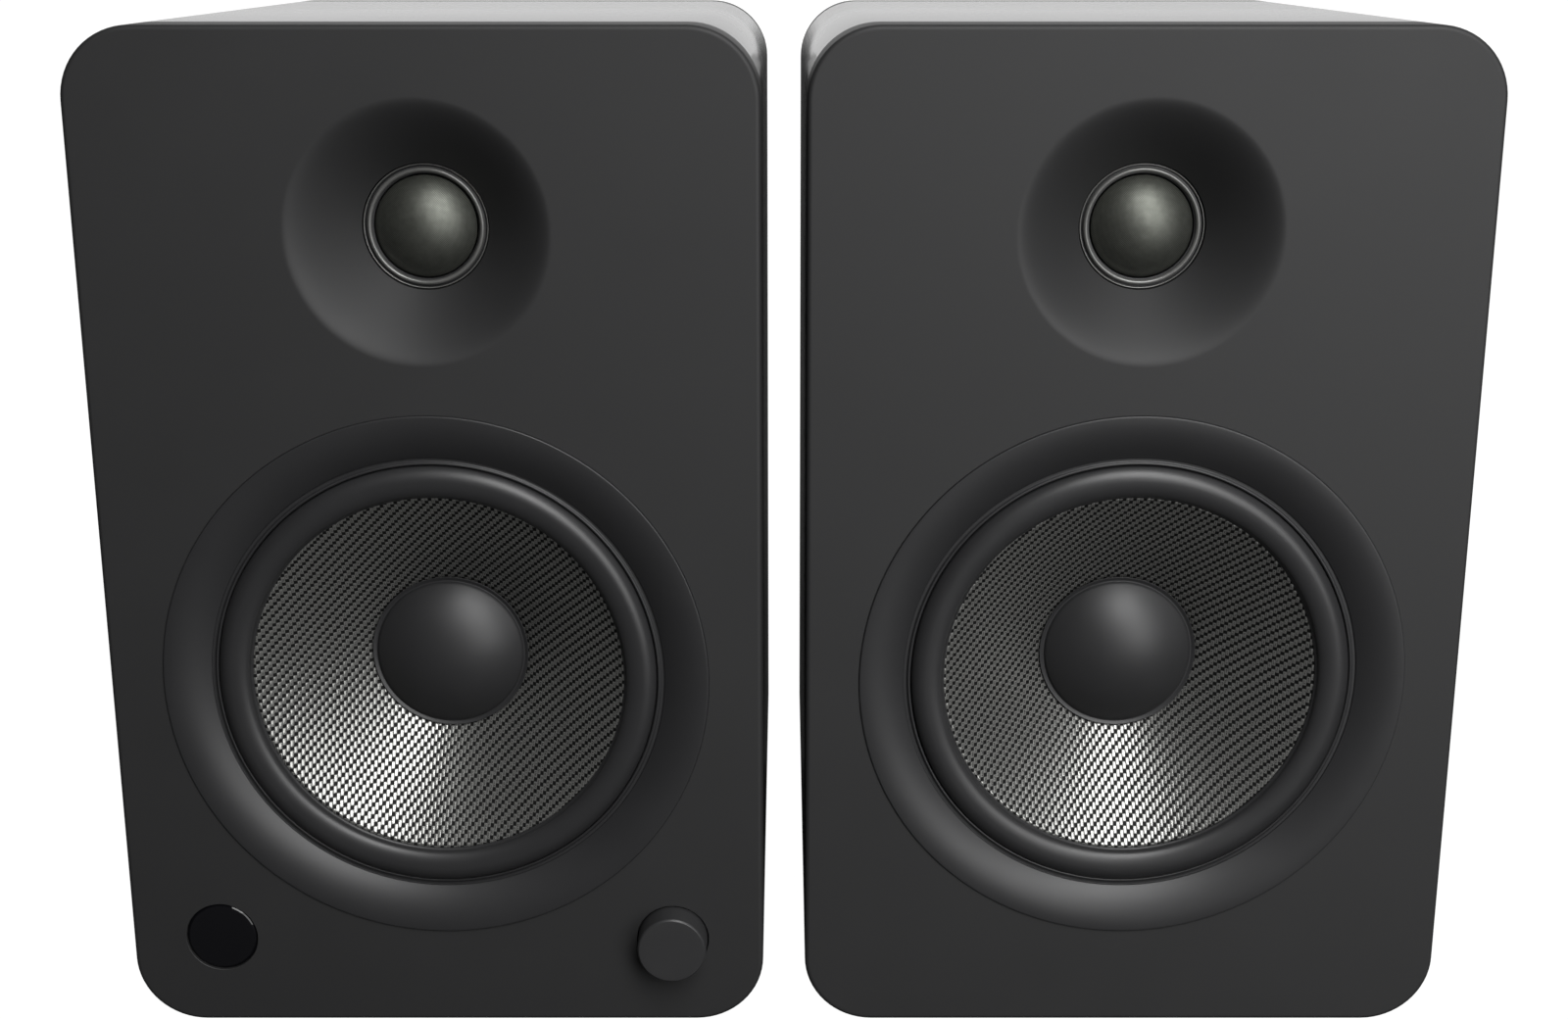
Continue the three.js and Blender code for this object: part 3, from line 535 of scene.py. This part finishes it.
def outline_rings(cabinet, front, back, front_edge, back_edge):
    """Loops round a cabinet board, with its two outer edges rounded."""
    steps = 8
    rings = []
    for k in range(-1, steps + 1):
        angle = math.pi / 2 * max(k, 0) / steps
        inset = front_edge * (1 - math.sin(angle)) + (0.25 if k < 0 else 0)
        rings.append((inset, front + front_edge * (1 - math.cos(angle))))
    for k in range(steps, -2, -1):
        angle = math.pi / 2 * max(k, 0) / steps
        inset = back_edge * (1 - math.sin(angle)) + (0.25 if k < 0 else 0)
        rings.append((inset, back - back_edge * (1 - math.cos(angle))))
    return [
        (rectangle(cabinet.width - 2 * inset, cabinet.height - 2 * inset, CORNER - inset, 0,
                   cabinet.height / 2), depth)
        for inset, depth in rings
    ]


def round_hole(profile, x, z, sides=160):
    """A hole through a board from [radius, depth] points; any flat rim round its first edge comes from
    those points.
    """
    return [(circle(radius, x, z, sides), depth) for radius, depth in profile]


WAVEGUIDE_MOUTH = 35.0
WAVEGUIDE_THROAT = 16.9
WAVEGUIDE_DEPTH = 15.0


def waveguide_profile(board_depth):
    steps = 48
    softness = 0.12
    profile = [(WAVEGUIDE_MOUTH + 1.5, 0.0), (WAVEGUIDE_MOUTH + 0.5, 0.0)]
    for k in range(steps + 1):
        inward = k / steps
        radius = WAVEGUIDE_MOUTH + (WAVEGUIDE_THROAT - WAVEGUIDE_MOUTH) * inward
        eased = inward ** 2 / (inward + softness) * (1 + softness)
        profile.append((radius, WAVEGUIDE_DEPTH * eased ** 1.2))
    return profile + [(WAVEGUIDE_THROAT, board_depth), (WAVEGUIDE_THROAT + 0.5, board_depth)]


def make_baffle(cabinet):
    side = cabinet.side
    back = cabinet.board + 0.1
    woofer = cabinet.middle(side + "_woofer_trim_ring")
    tweeter = cabinet.middle(side + "_tweeter_faceplate")
    seat, rim = 74.46, 0.06
    window_hole, knob_hole = 10.08, 10.1
    recess = rounded([(seat + 1.0, 0), (seat + rim, 0), (seat, rim), (seat, 13.8, 0.3), (66.5, 13.8, 0.3),
                      (66.5, back), (67.0, back)])
    holes = [round_hole(recess, *woofer, sides=256),
             round_hole(waveguide_profile(back), *tweeter, sides=192)]
    if side == "active":
        window = rounded([(11.0, 0), (10.2, 0), (window_hole, 0.12), (window_hole, 3.95),
                          (6.0, 3.95), (6.0, back), (6.4, back)])
        knob = rounded([(11.0, 0), (10.25, 0), (knob_hole, 0.15), (knob_hole, 8.4), (4.0, 8.4),
                        (4.0, back), (4.4, back)])
        holes.append(round_hole(window, *cabinet.middle("sensor_window"), sides=96))
        holes.append(round_hole(knob, *cabinet.middle("volume_knob"), sides=96))
    node = side + "_front_baffle"
    board(node + "_face", cabinet, outline_rings(cabinet, 0, back, EDGE, SEAM), holes,
          LOOKS["cabinet_paint"], cabinet.body, replaces=[node], slot="cabinet_paint")


def make_shell(cabinet):
    node = cabinet.side + "_cabinet_shell"
    front, back = cabinet.board + 0.14, cabinet.rear_front - 0.04
    inner = rectangle(cabinet.width - 2 * WALL, cabinet.height - 2 * WALL, CORNER - WALL, 0,
                      cabinet.height / 2)
    board(node + "_skin", cabinet, outline_rings(cabinet, front, back, SEAM, SEAM),
          [[(inner, front), (inner, back)]], LOOKS["shell_paint"], cabinet.body,
          replaces=[node], slot="cabinet_paint")


def make_rear_board(cabinet):
    side = cabinet.side
    node = side + "_rear_board"
    front, back = cabinet.rear_front, cabinet.depth
    panel = "amp_plate" if side == "active" else "terminal_plate"
    low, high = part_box(panel)
    x, z = cabinet.middle(panel)
    width, height = (high.x - low.x) / MM - 16, (high.z - low.z) / MM - 16
    port = cabinet.middle(side + "_port_tube")
    cutout = rectangle(width, height, 4, x, z)
    holes = [[(circle(26.0, *port), front), (circle(26.0, *port), back)],
             [(cutout, front), (cutout, back)]]
    board(node + "_face", cabinet, outline_rings(cabinet, front, back, SEAM, EDGE), holes,
          LOOKS["cabinet_paint"], cabinet.body, replaces=[node], slot="cabinet_paint")


def make_port(cabinet):
    node = cabinet.side + "_port_tube"
    face = cabinet.depth + 0.05
    inner_end = cabinet.depths(node)[0]
    profile = rounded([
        (30.0, face, 0.2), (25.7, face), (25.7, face - 9, 3), (20.6, face - 18, 3),
        (20.6, inner_end + 8, 3), (23.6, inner_end + 1.4, 1), (21.6, inner_end, 1),
        (18.4, inner_end + 8, 12), (18.4, face - 14, 20), (20.2, face - 5, 12),
        (25.4, face + 1.0, 10), (28.4, face + 2.2, 1.2), (30.0, face + 1.7, 0.6),
    ], closed=True, steps=8)
    turned(node + "_moulding", cabinet, cabinet.middle(node), profile, LOOKS["moulded_black"],
           cabinet.body, sides=128, replaces=[node], slot="moulded_black")


def make_feet(cabinet):
    """Rubber strips with two grooves along the face that they stand on."""
    for end in ("front", "rear"):
        node = f"{cabinet.side}_{end}_foot"
        low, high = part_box(node)
        y0, y1 = cabinet.depths(node)
        z0, z1 = (low.z - cabinet.origin.z) / MM, 0.0
        width = y1 - y0
        outline = [(y0, z1), (y0 + 0.4, z0)]
        for groove in (1, 2):
            middle = y0 + width * groove / 3
            outline += [(middle - 1.2, z0), (middle - 0.7, z0 + 0.8), (middle + 0.7, z0 + 0.8),
                        (middle + 1.2, z0)]
        outline += [(y1 - 0.4, z0), (y1, z1)]
        half = (high.x - low.x) / MM / 2
        extruded(node + "_strip", cabinet, outline, -half, half, 0.3, LOOKS["foot_rubber"],
                 cabinet.body, replaces=[node], slot="foot_rubber")


# ---- Woofer ------------------------------------------------------------------------------------

ROLL_OUTER, ROLL_CREST, ROLL_INNER = 59.8, 56.1, 51.5  # radii of the rubber roll
CREST_DEPTH, OUTER_FOOT, INNER_FOOT, FLANGE = 0.6, 4.6, 3.0, 4.7  # its depths
FOOT_ANGLE = 28  # degrees; the roll leaves the frame at a slant
SKIN = 0.8


def make_trim_ring(cabinet):
    node = cabinet.side + "_woofer_trim_ring"
    outer, edge, inner, depth, proud = 74.42, 73.7, 62.45, 3.2, 0.6
    steps = 40
    dish = []
    for k in range(steps + 1):
        inward = k / steps
        dish.append((edge + (inner - edge) * inward, (depth + proud) * inward ** 2 - proud))
    bead = arc(60.62, 3.62, 0.45, 0.47, 0, 180, 12)
    profile = [
        *rounded([(outer, 10.15), (outer, -proud, 0.65), dish[0]]), *dish,
        *rounded([dish[-1], (62.15, 3.4, 0.2), (62.0, 3.8, 0.1), (61.3, 3.8, 0.1), bead[0]])[1:-1],
        *bead, (60.17, 4.35), (67.5, 4.35), (67.5, 10.15),
    ]
    turned(node + "_dish", cabinet, cabinet.middle(node), profile, LOOKS["satin_trim"],
           cabinet.body, sides=256, replaces=[node], slot="satin_trim")


def make_surround(cabinet):
    """The rubber roll in two pieces that meet on its crest."""
    side = cabinet.side
    node = side + "_woofer_surround"
    place = cabinet.middle(side + "_woofer_trim_ring")
    flat = 0.06
    half = ROLL_OUTER - ROLL_CREST
    slanted = (half - flat) / math.cos(math.radians(FOOT_ANGLE))
    outer_front = arc(ROLL_CREST + flat, OUTER_FOOT, slanted, OUTER_FOOT - CREST_DEPTH,
                      FOOT_ANGLE, 90, 20)
    outer_back = arc(ROLL_CREST + flat, OUTER_FOOT, slanted - SKIN,
                     OUTER_FOOT - CREST_DEPTH - SKIN, 90, FOOT_ANGLE, 20)
    outer = [
        (66.5, FLANGE), *rounded([(66.5, FLANGE), (59.9, FLANGE, 0.3), outer_front[0]])[1:-1],
        *outer_front, (ROLL_CREST, CREST_DEPTH), (ROLL_CREST, CREST_DEPTH + SKIN), *outer_back,
        (59.2, FLANGE + SKIN), (66.5, FLANGE + SKIN),
    ]
    reach = ROLL_CREST - ROLL_INNER
    inner_front = arc(ROLL_CREST - flat, INNER_FOOT, reach - flat, INNER_FOOT - CREST_DEPTH,
                      90, 180, 20)
    inner_back = arc(ROLL_CREST - flat, INNER_FOOT, reach - flat - SKIN,
                     INNER_FOOT - CREST_DEPTH - SKIN, 180, 90, 20)
    lip = rounded([inner_front[-1], (51.25, 3.4, 0.2), (50.95, 3.7, 0.15), (50.9, 4.1)])[1:]
    inner = [
        (ROLL_CREST, CREST_DEPTH), *inner_front, *lip, (52.6, 4.1), *inner_back,
        (ROLL_CREST, CREST_DEPTH + SKIN),
    ]
    for name, profile, foot in (("outer", outer, FLANGE), ("inner", inner, INNER_FOOT + 0.4)):
        piece = turned(f"{node}_{name}_roll", cabinet, place, profile, LOOKS["surround_rubber"],
                       None, sides=256, replaces=[node], slot="surround_rubber")
        # The crest is half way between the still flange and the moving lip.
        beyond = 2 * CREST_DEPTH - foot
        still, moved = (foot, beyond) if name == "outer" else (beyond, foot)
        cabinet.point(0, still, 0)
        cabinet.point(0, moved, 0)
        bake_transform(piece)


def make_cone(cabinet):
    side = cabinet.side
    place = cabinet.middle(side + "_woofer_trim_ring")
    body = side + "_woofer_moving"
    cone = rounded([
        (52.2, 4.35), (50.4, 4.4, 0.8), (17.6, 29.6), (17.6, 30.5), (50.2, 5.3, 0.8), (52.2, 5.2),
    ], closed=True)
    turned(side + "_woofer_cone_weave", cabinet, place, cone, LOOKS["woven_fibre"], body,
           sides=256, replaces=[side + "_woofer_cone"], slot="woven_fibre")

    crest, edge, edge_depth = 17.1, 20.6, 25.1
    cap = [
        *dome(edge, crest, edge_depth, 36),
        *rounded([(edge, edge_depth), (20.8, 25.75, 0.15), (21.2, 25.72, 0.2),
                  (22.15, 25.15, 0.15), (22.1, 25.55, 0.1), (20.6, 26.6)])[1:],
        *reversed(dome(edge - 0.6, crest + 0.8, edge_depth + 0.6, 24)),
    ]
    turned(side + "_woofer_dust_cap_shell", cabinet, place, cap, LOOKS["dust_cap"], body,
           sides=160, replaces=[side + "_woofer_dust_cap"], slot="dust_cap")


# ---- Tweeter -----------------------------------------------------------------------------------

def make_tweeter(cabinet):
    side = cabinet.side
    node = side + "_tweeter_faceplate"
    place = cabinet.middle(node)
    faceplate = rounded([
        (13.9, 17.0), (13.95, 16.3, 0.2), (15.9, 16.3, 0.1), (15.95, 16.6), (16.2, 16.6), (16.25, 16.1),
        (16.6, 16.1, 0.1), (16.6, 20.3), (30, 20.3, 0.3), (30, 23.2, 0.3), (15.2, 23.2), (15.2, 18.2),
        (13.9, 18.2),
    ], closed=True)
    turned(node + "_moulding", cabinet, place, faceplate, LOOKS["satin_trim"], cabinet.body,
           sides=160, replaces=[node], slot="satin_trim")
    bead = arc(14.98, 16.0, 0.66, 0.9, -30, 210, 24)
    turned(side + "_tweeter_inner_ring", cabinet, place, bead, EXTRA["tweeter_ring"],
           cabinet.body, sides=160)
    line = arc(16.42, 15.9, 0.2, 0.3, -30, 210, 12)
    turned(side + "_tweeter_outer_ring", cabinet, place, line, EXTRA["tweeter_ring"],
           cabinet.body, sides=160)

    silk = [
        *dome(13.5, 9.3, 16.4, 36), (13.5, 16.75), (12.8, 16.75), (12.8, 27), (12.4, 27),
        *reversed(dome(12.4, 9.8, 16.4, 24)),
    ]
    turned(side + "_tweeter_dome_silk", cabinet, place, silk, LOOKS["woven_silk"],
           side + "_tweeter_moving", sides=160, replaces=[side + "_tweeter_dome"],
           slot="woven_silk")


# ---- Controls ----------------------------------------------------------------------------------

def make_controls(cabinet):
    lens = rounded([(0, 0.4), (9.2, 0.42, 0.2), (9.95, 0.95, 0.2), (10.0, 3.6, 0.2), (0, 3.6)])
    turned("sensor_window_lens", cabinet, cabinet.middle("sensor_window"), lens,
           LOOKS["gloss_lens"], cabinet.body, sides=96, replaces=["sensor_window"],
           slot="gloss_lens")
    front = cabinet.depths("volume_knob")[0]
    knob = rounded([
        (0, front + 0.12), (6.5, front + 0.05), (9.1, front + 0.02, 0.3),
        (9.55, front + 0.5, 0.3), (9.8, 0), (9.8, 5.5, 0.3),
        (3.1, 5.5), (3.1, -3.0), (0, -3.0),
    ])
    turned("volume_knob_cap", cabinet, cabinet.middle("volume_knob"), knob,
           LOOKS["knob_black"], "volume_knob", sides=160, replaces=["volume_knob"],
           slot="knob_black")


# ---- Rear panels -------------------------------------------------------------------------------

def hexagon(radius, angle):
    """How far a hexagon of that corner radius reaches at an angle."""
    part = math.pi / 3
    return radius * math.cos(part / 2) / math.cos((angle % part) - part / 2)


def make_screw(name, cabinet, x, z, face):
    """A button-head screw with a hexagon socket, its head on the outside of a panel."""
    socket = 1.25

    def form(radius, depth, angle):
        return hexagon(radius, angle) if radius <= socket + 1e-6 else radius

    profile = rounded([
        (0, face + 0.5), (socket, face + 0.5), (socket, face + 1.55), (1.9, face + 1.55, 0.4),
        (2.75, face + 0.5, 0.6), (2.75, face, 0.1), (0, face),
    ])
    turned(name, cabinet, (x, z), profile, EXTRA["screw_black"], cabinet.body, sides=48, form=form)


def panel_piece(cabinet, node, openings, screws):
    """A rear panel with rounded edges, its openings and its screws."""
    low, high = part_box(node)
    x, z = cabinet.middle(node)
    width, height = (high.x - low.x) / MM, (high.z - low.z) / MM
    front, back = cabinet.depth + 0.05, cabinet.depths(node)[1]

    def edge(inset, depth):
        return rectangle(width - 2 * inset, height - 2 * inset, 5 - inset, x, z), depth

    outline = [edge(0.3, front), edge(0, front), edge(0, back - 0.5), edge(0.15, back - 0.15),
               edge(0.5, back), edge(0.8, back)]
    holes = []
    for loop in openings:
        holes.append([(loop(0), front), (loop(0), back - 0.15), (loop(0.15), back),
                      (loop(0.4), back)])
    board(node + "_sheet", cabinet, outline, holes, LOOKS["panel_metal"], cabinet.body,
          replaces=[node], slot="panel_metal")
    for number, (share_x, share_z) in enumerate(screws):
        make_screw(f"{node}_screw_{number}", cabinet, x + share_x * (width / 2 - 5.5),
                   z + share_z * (height / 2 - 5.5), back)


def round_opening(radius, x, z):
    return lambda grow: circle(radius + grow, x, z, 64)


def square_opening(width, height, x, z):
    return lambda grow: rectangle(width + 2 * grow, height + 2 * grow, 0.6 + grow, x, z, 6)


def make_posts(cabinet):
    """Binding posts: a plated stud on a collar, and a fluted screw cap with a plated end."""
    side = cabinet.side
    for colour, look in (("red", "red_plastic"), ("black", "moulded_black")):
        node, cap_node = f"{side}_post_{colour}", f"{side}_post_cap_{colour}"
        place = cabinet.middle(cap_node)
        post_front, stud_end = cabinet.depths(node)
        front, back = cabinet.depths(cap_node)
        collar = front - 4.3
        stud = rounded([
            (0, post_front), (3.2, post_front, 0.3), (3.2, collar), (6.0, collar, 0.3),
            (6.0, collar + 2.2, 0.3), (4.6, collar + 2.5), (4.6, collar + 4.0, 0.3), (2.1, collar + 4.0),
            (2.1, stud_end, 0.4), (0, stud_end),
        ])
        turned(node + "_stud", cabinet, place, stud, LOOKS["gold_plate"], cabinet.body, sides=64,
               replaces=[node], slot="gold_plate")

        def flutes(radius, depth, angle):
            if radius < 4.5 or depth < front + 2.2:
                return radius
            return radius - 0.42 * (0.5 + 0.5 * math.cos(12 * angle)) ** 2

        cap = rounded([
            (2.3, front), (6.2, front, 0.4), (6.2, front + 2.1, 0.2), (6.2, front + 2.3),
            (6.2, back - 0.3, 0.8), (4.4, back - 0.3), (4.4, back - 1.2), (0, back - 1.2),
            (0, back - 1.35), (2.3, back - 1.35),
        ])
        cap = cap[:-3] + [(2.3, back - 1.2)]
        body = f"{side}_cap_{colour}"
        turned(cap_node + "_grip", cabinet, place, cap, LOOKS[look], body, sides=144, form=flutes,
               replaces=[cap_node], slot=look)
        end = rounded([
            (2.0, back - 1.15), (4.3, back - 1.15), (4.3, back - 0.05, 0.3), (2.0, back - 0.05, 0.3),
        ], closed=True)
        turned(cap_node + "_end_ring", cabinet, place, end, LOOKS["gold_plate"], body, sides=64)


def make_sockets(cabinet):
    """Phono sockets, optical socket, mains inlet and rocker switch on the amplifier plate."""
    panel_back = cabinet.depths("amp_plate")[1]
    x, z = cabinet.middle("rca_jacks")
    front, end = cabinet.depths("rca_jacks")
    block("rca_jacks_housing", cabinet, (x - 5.5, x + 5.5), (front, cabinet.depth - 0.05),
          (z - 14.5, z + 14.5), 0.4, LOOKS["moulded_black"], cabinet.body, replaces=["rca_jacks"])
    for name, offset, look in (("red", -8, LOOKS["red_plastic"]), ("white", 8, EXTRA["white_plastic"])):
        place = (x, z + offset)
        barrel = rounded([
            (3.35, panel_back - 3), (4.1, panel_back - 3), (4.1, end, 0.3), (3.35, end, 0.3),
        ], closed=True)
        turned(f"rca_{name}_barrel", cabinet, place, barrel, LOOKS["gold_plate"], cabinet.body,
               sides=64, slot="gold_plate")
        core = rounded([
            (1.7, panel_back + 1), (1.7, end - 0.4, 0.2), (3.3, end - 0.4, 0.2),
            (3.3, panel_back - 3), (0, panel_back - 3), (0, panel_back + 1),
        ])
        turned(f"rca_{name}_core", cabinet, place, core, look, cabinet.body, sides=64)
        nut = rounded([
            (4.15, panel_back + 0.05), (6.6, panel_back + 0.05, 0.15), (6.6, panel_back + 1.7, 0.5),
            (4.15, panel_back + 1.7, 0.2),
        ], closed=True)

        def six_sided(radius, depth, angle):
            return hexagon(radius, angle) if radius > 5 else radius

        turned(f"rca_{name}_nut", cabinet, place, nut, EXTRA["nickel"], cabinet.body, sides=96,
               form=six_sided)

    make_optical(cabinet, panel_back)
    make_inlet(cabinet)
    make_rocker(cabinet, panel_back)


def framed(name, cabinet, size, place, front, back, hole, floor, corner, material, **says):
    """A flange with a blind rectangular recess whose floor is at depth floor."""
    x, z = place

    def outer(inset, depth):
        loop = rectangle(size[0] - 2 * inset, size[1] - 2 * inset, corner - inset, x, z, 8)
        return loop, depth

    def inner(grow, depth):
        loop = rectangle(hole[0] + 2 * grow, hole[1] + 2 * grow, 1.0 + grow, x, z, 8)
        return loop, depth

    outline = [outer(0.6, back), outer(0.4, back), outer(0.12, back - 0.12), outer(0, back - 0.4),
               outer(0, front), outer(0.3, front)]
    recess = [inner(0.4, back), inner(0.25, back), inner(0.07, back - 0.07), inner(0, back - 0.25),
              inner(0, floor), None]
    return board(name, cabinet, outline, [recess], material, cabinet.body, **says)


def make_optical(cabinet, panel_back):
    place = cabinet.middle("optical_jack")
    back = cabinet.depths("optical_jack")[1]
    framed("optical_jack_frame", cabinet, (11.4, 11.4), place, panel_back - 6, back, (6.4, 6.4),
           back - 2.4, 1.0, LOOKS["moulded_black"], replaces=["optical_jack"],
           slot="moulded_black")
    x, z = place
    block("optical_jack_shutter", cabinet, (x - 2.9, x + 2.9), (back - 2.2, back - 1.3),
          (z - 2.9, z + 2.9), 0.25, LOOKS["rocker_gloss"], cabinet.body)


def make_inlet(cabinet):
    low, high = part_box("mains_inlet")
    place = cabinet.middle("mains_inlet")
    back = cabinet.depths("mains_inlet")[1]
    floor = back - 16
    size = ((high.x - low.x) / MM, (high.z - low.z) / MM)
    framed("mains_inlet_cup", cabinet, size, place, floor - 2.5, back, (24.2, 16.6), floor, 3.0,
           LOOKS["moulded_black"], replaces=["mains_inlet"], slot="moulded_black")
    x, z = place
    for number, (blade_x, blade_z) in enumerate(((-7, -1), (7, -1), (0, 4))):
        block(f"mains_inlet_blade_{number}", cabinet, (x + blade_x - 1, x + blade_x + 1),
              (floor + 0.02, floor + 11), (z + blade_z - 2, z + blade_z + 2), 0.6,
              EXTRA["nickel"], cabinet.body)


def make_rocker(cabinet, panel_back):
    low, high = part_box("rocker_bezel")
    place = cabinet.middle("rocker_bezel")
    front, back = cabinet.depths("rocker_bezel")
    size = ((high.x - low.x) / MM, (high.z - low.z) / MM)
    pivot = panel_back + 0.6
    framed("rocker_bezel_frame", cabinet, size, place, front, back, (10.6, 16.2), pivot - 9, 1.6,
           LOOKS["moulded_black"], replaces=["rocker_bezel"], slot="moulded_black")
    tilt = math.radians(-7)
    outline = []
    x, z = place
    for up, out in ((-7.4, 1.6), (-7.4, -1.8), (-2, -6), (2, -6), (7.4, -1.8), (7.4, 1.6), (3.5, 0.85),
                    (0, 0.6), (-3.5, 0.85)):
        turned_out = out * math.cos(tilt) - up * math.sin(tilt)
        turned_up = out * math.sin(tilt) + up * math.cos(tilt)
        outline.append((pivot + turned_out, z + turned_up))
    extruded("power_rocker_paddle", cabinet, outline, x - 5, x + 5, 0.35, LOOKS["rocker_gloss"],
             "power_rocker", replaces=["power_rocker"], slot="rocker_gloss")


def make_rear(cabinet):
    side = cabinet.side
    post_hole = 3.6
    posts = [cabinet.middle(f"{side}_post_cap_{colour}") for colour in ("red", "black")]
    openings = [round_opening(post_hole, *place) for place in posts]
    if side == "active":
        x, z = cabinet.middle("rca_jacks")
        openings += [round_opening(4.6, x, z - 8), round_opening(4.6, x, z + 8)]
        openings.append(square_opening(10.2, 10.2, *cabinet.middle("optical_jack")))
        openings.append(square_opening(28.2, 21.0, *cabinet.middle("mains_inlet")))
        openings.append(square_opening(15.4, 21.0, *cabinet.middle("rocker_bezel")))
        corners = [(a, b) for a in (-1, 0, 1) for b in (-1, 1)] + [(-1, 0), (1, 0)]
        panel_piece(cabinet, "amp_plate", openings, corners)
        make_sockets(cabinet)
    else:
        corners = [(a, b) for a in (-1, 1) for b in (-1, 1)]
        panel_piece(cabinet, "terminal_plate", openings, corners)
    make_posts(cabinet)


# ---- Stage, light and camera -------------------------------------------------------------------

def make_floor():
    """A pale floor that stays bright far behind the speakers."""
    half = 30.0
    mesh = bpy.data.meshes.new("floor")
    corners = [(-half, -half, 0), (half, -half, 0), (half, half, 0), (-half, half, 0)]
    mesh.from_pydata(corners, [], [(0, 1, 2, 3)])
    floor = bpy.data.objects.new("floor", mesh)
    bpy.context.scene.collection.objects.link(floor)
    material = bpy.data.materials.new("pale_floor")
    material.use_nodes = True
    tree = material.node_tree
    shader = tree.nodes["Principled BSDF"]
    set_values(shader, Base_Color=(0.07, 0.07, 0.07, 1), Roughness=0.9)
    glow = add_node(tree, "Emission", {"Color": (1, 1, 1, 1), "Strength": 1.0})
    seen = add_node(tree, "LightPath").outputs["Is Camera Ray"]
    lit = add_node(tree, "AddShader", {0: shader.outputs[0], 1: glow.outputs[0]})
    both = add_node(tree, "MixShader", {0: seen, 1: shader.outputs[0], 2: lit.outputs[0]})
    tree.links.new(both.outputs[0], tree.nodes["Material Output"].inputs["Surface"])
    floor.data.materials.append(material)


def make_world():
    """A soft room, bright behind the speakers and dim in front."""
    world = bpy.data.worlds.new("studio")
    bpy.context.scene.world = world
    world.use_nodes = True
    tree = world.node_tree
    back = tree.nodes["Background"]
    direction = add_node(tree, "TexCoord").outputs["Generated"]
    behind = add_node(tree, "SeparateXYZ", {0: direction}).outputs[1]
    share = add_node(tree, "MapRange", {0: behind, 1: 0.28, 2: 0.95, 3: 0.0, 4: 1.0},
                     interpolation_type="SMOOTHSTEP").outputs[0]
    seen = add_node(tree, "LightPath").outputs["Is Camera Ray"]
    level = mapped(tree, share, 0.03, 1.1)
    strength = math_node(tree, "MAXIMUM", level, seen)
    tree.links.new(strength, back.inputs["Strength"])
    back.inputs["Color"].default_value = (1, 1, 1, 1)


def make_light(name, place, aim, size, power, spread=math.pi):
    data = bpy.data.lights.new(name, "AREA")
    data.shape = "RECTANGLE"
    data.size, data.size_y = size
    data.energy = power
    data.spread = spread
    light = bpy.data.objects.new(name, data)
    bpy.context.scene.collection.objects.link(light)
    light.location = place
    direction = Vector(aim) - Vector(place)
    light.rotation_euler = direction.to_track_quat("-Z", "Y").to_euler()
    light.visible_camera = False


def make_camera(cabinet):
    """The viewpoint: in front of the middle of the pair, a little above the cabinets' tops."""
    distance, above, pitch, lens = 0.5399, 0.2982, 15.23, 48.10
    data = bpy.data.cameras.new("camera")
    data.sensor_width = 36
    data.lens = lens
    camera = bpy.data.objects.new("camera", data)
    bpy.context.scene.collection.objects.link(camera)
    camera.location = (0, cabinet.origin.y - distance, cabinet.origin.z + above)
    camera.rotation_euler = (math.radians(90 - pitch), 0, 0)
    bpy.context.scene.camera = camera


# ---- Build -------------------------------------------------------------------------------------

for side in SIDES:
    cabinet = Cabinet(side)
    make_baffle(cabinet)
    make_shell(cabinet)
    make_rear_board(cabinet)
    make_port(cabinet)
    make_feet(cabinet)
    make_trim_ring(cabinet)
    make_surround(cabinet)
    make_cone(cabinet)
    make_tweeter(cabinet)
    make_rear(cabinet)
    if side == "active":
        make_controls(cabinet)
        make_camera(cabinet)

slot_of = {row["node"]: row["material_slot"] for row in frame["record"]["subparts"]}
for node, shown in frame["nodes"].items():
    if not shown.hide_render:
        shown.data.materials.clear()
        shown.data.materials.append(LOOKS[slot_of[node]])

make_floor()
make_world()
MIDDLE = (0, -0.1, 0.15)
make_light("key", (0.38, -1.1, 0.98), MIDDLE, (0.7, 0.7), 12.8)
make_light("top", (0.24, -0.80, 1.30), MIDDLE, (0.5, 0.5), 6)
make_light("side", (0.62, -1.05, 0.32), MIDDLE, (0.6, 0.7), 5.8)
bpy.context.scene.view_settings.view_transform = "Standard"
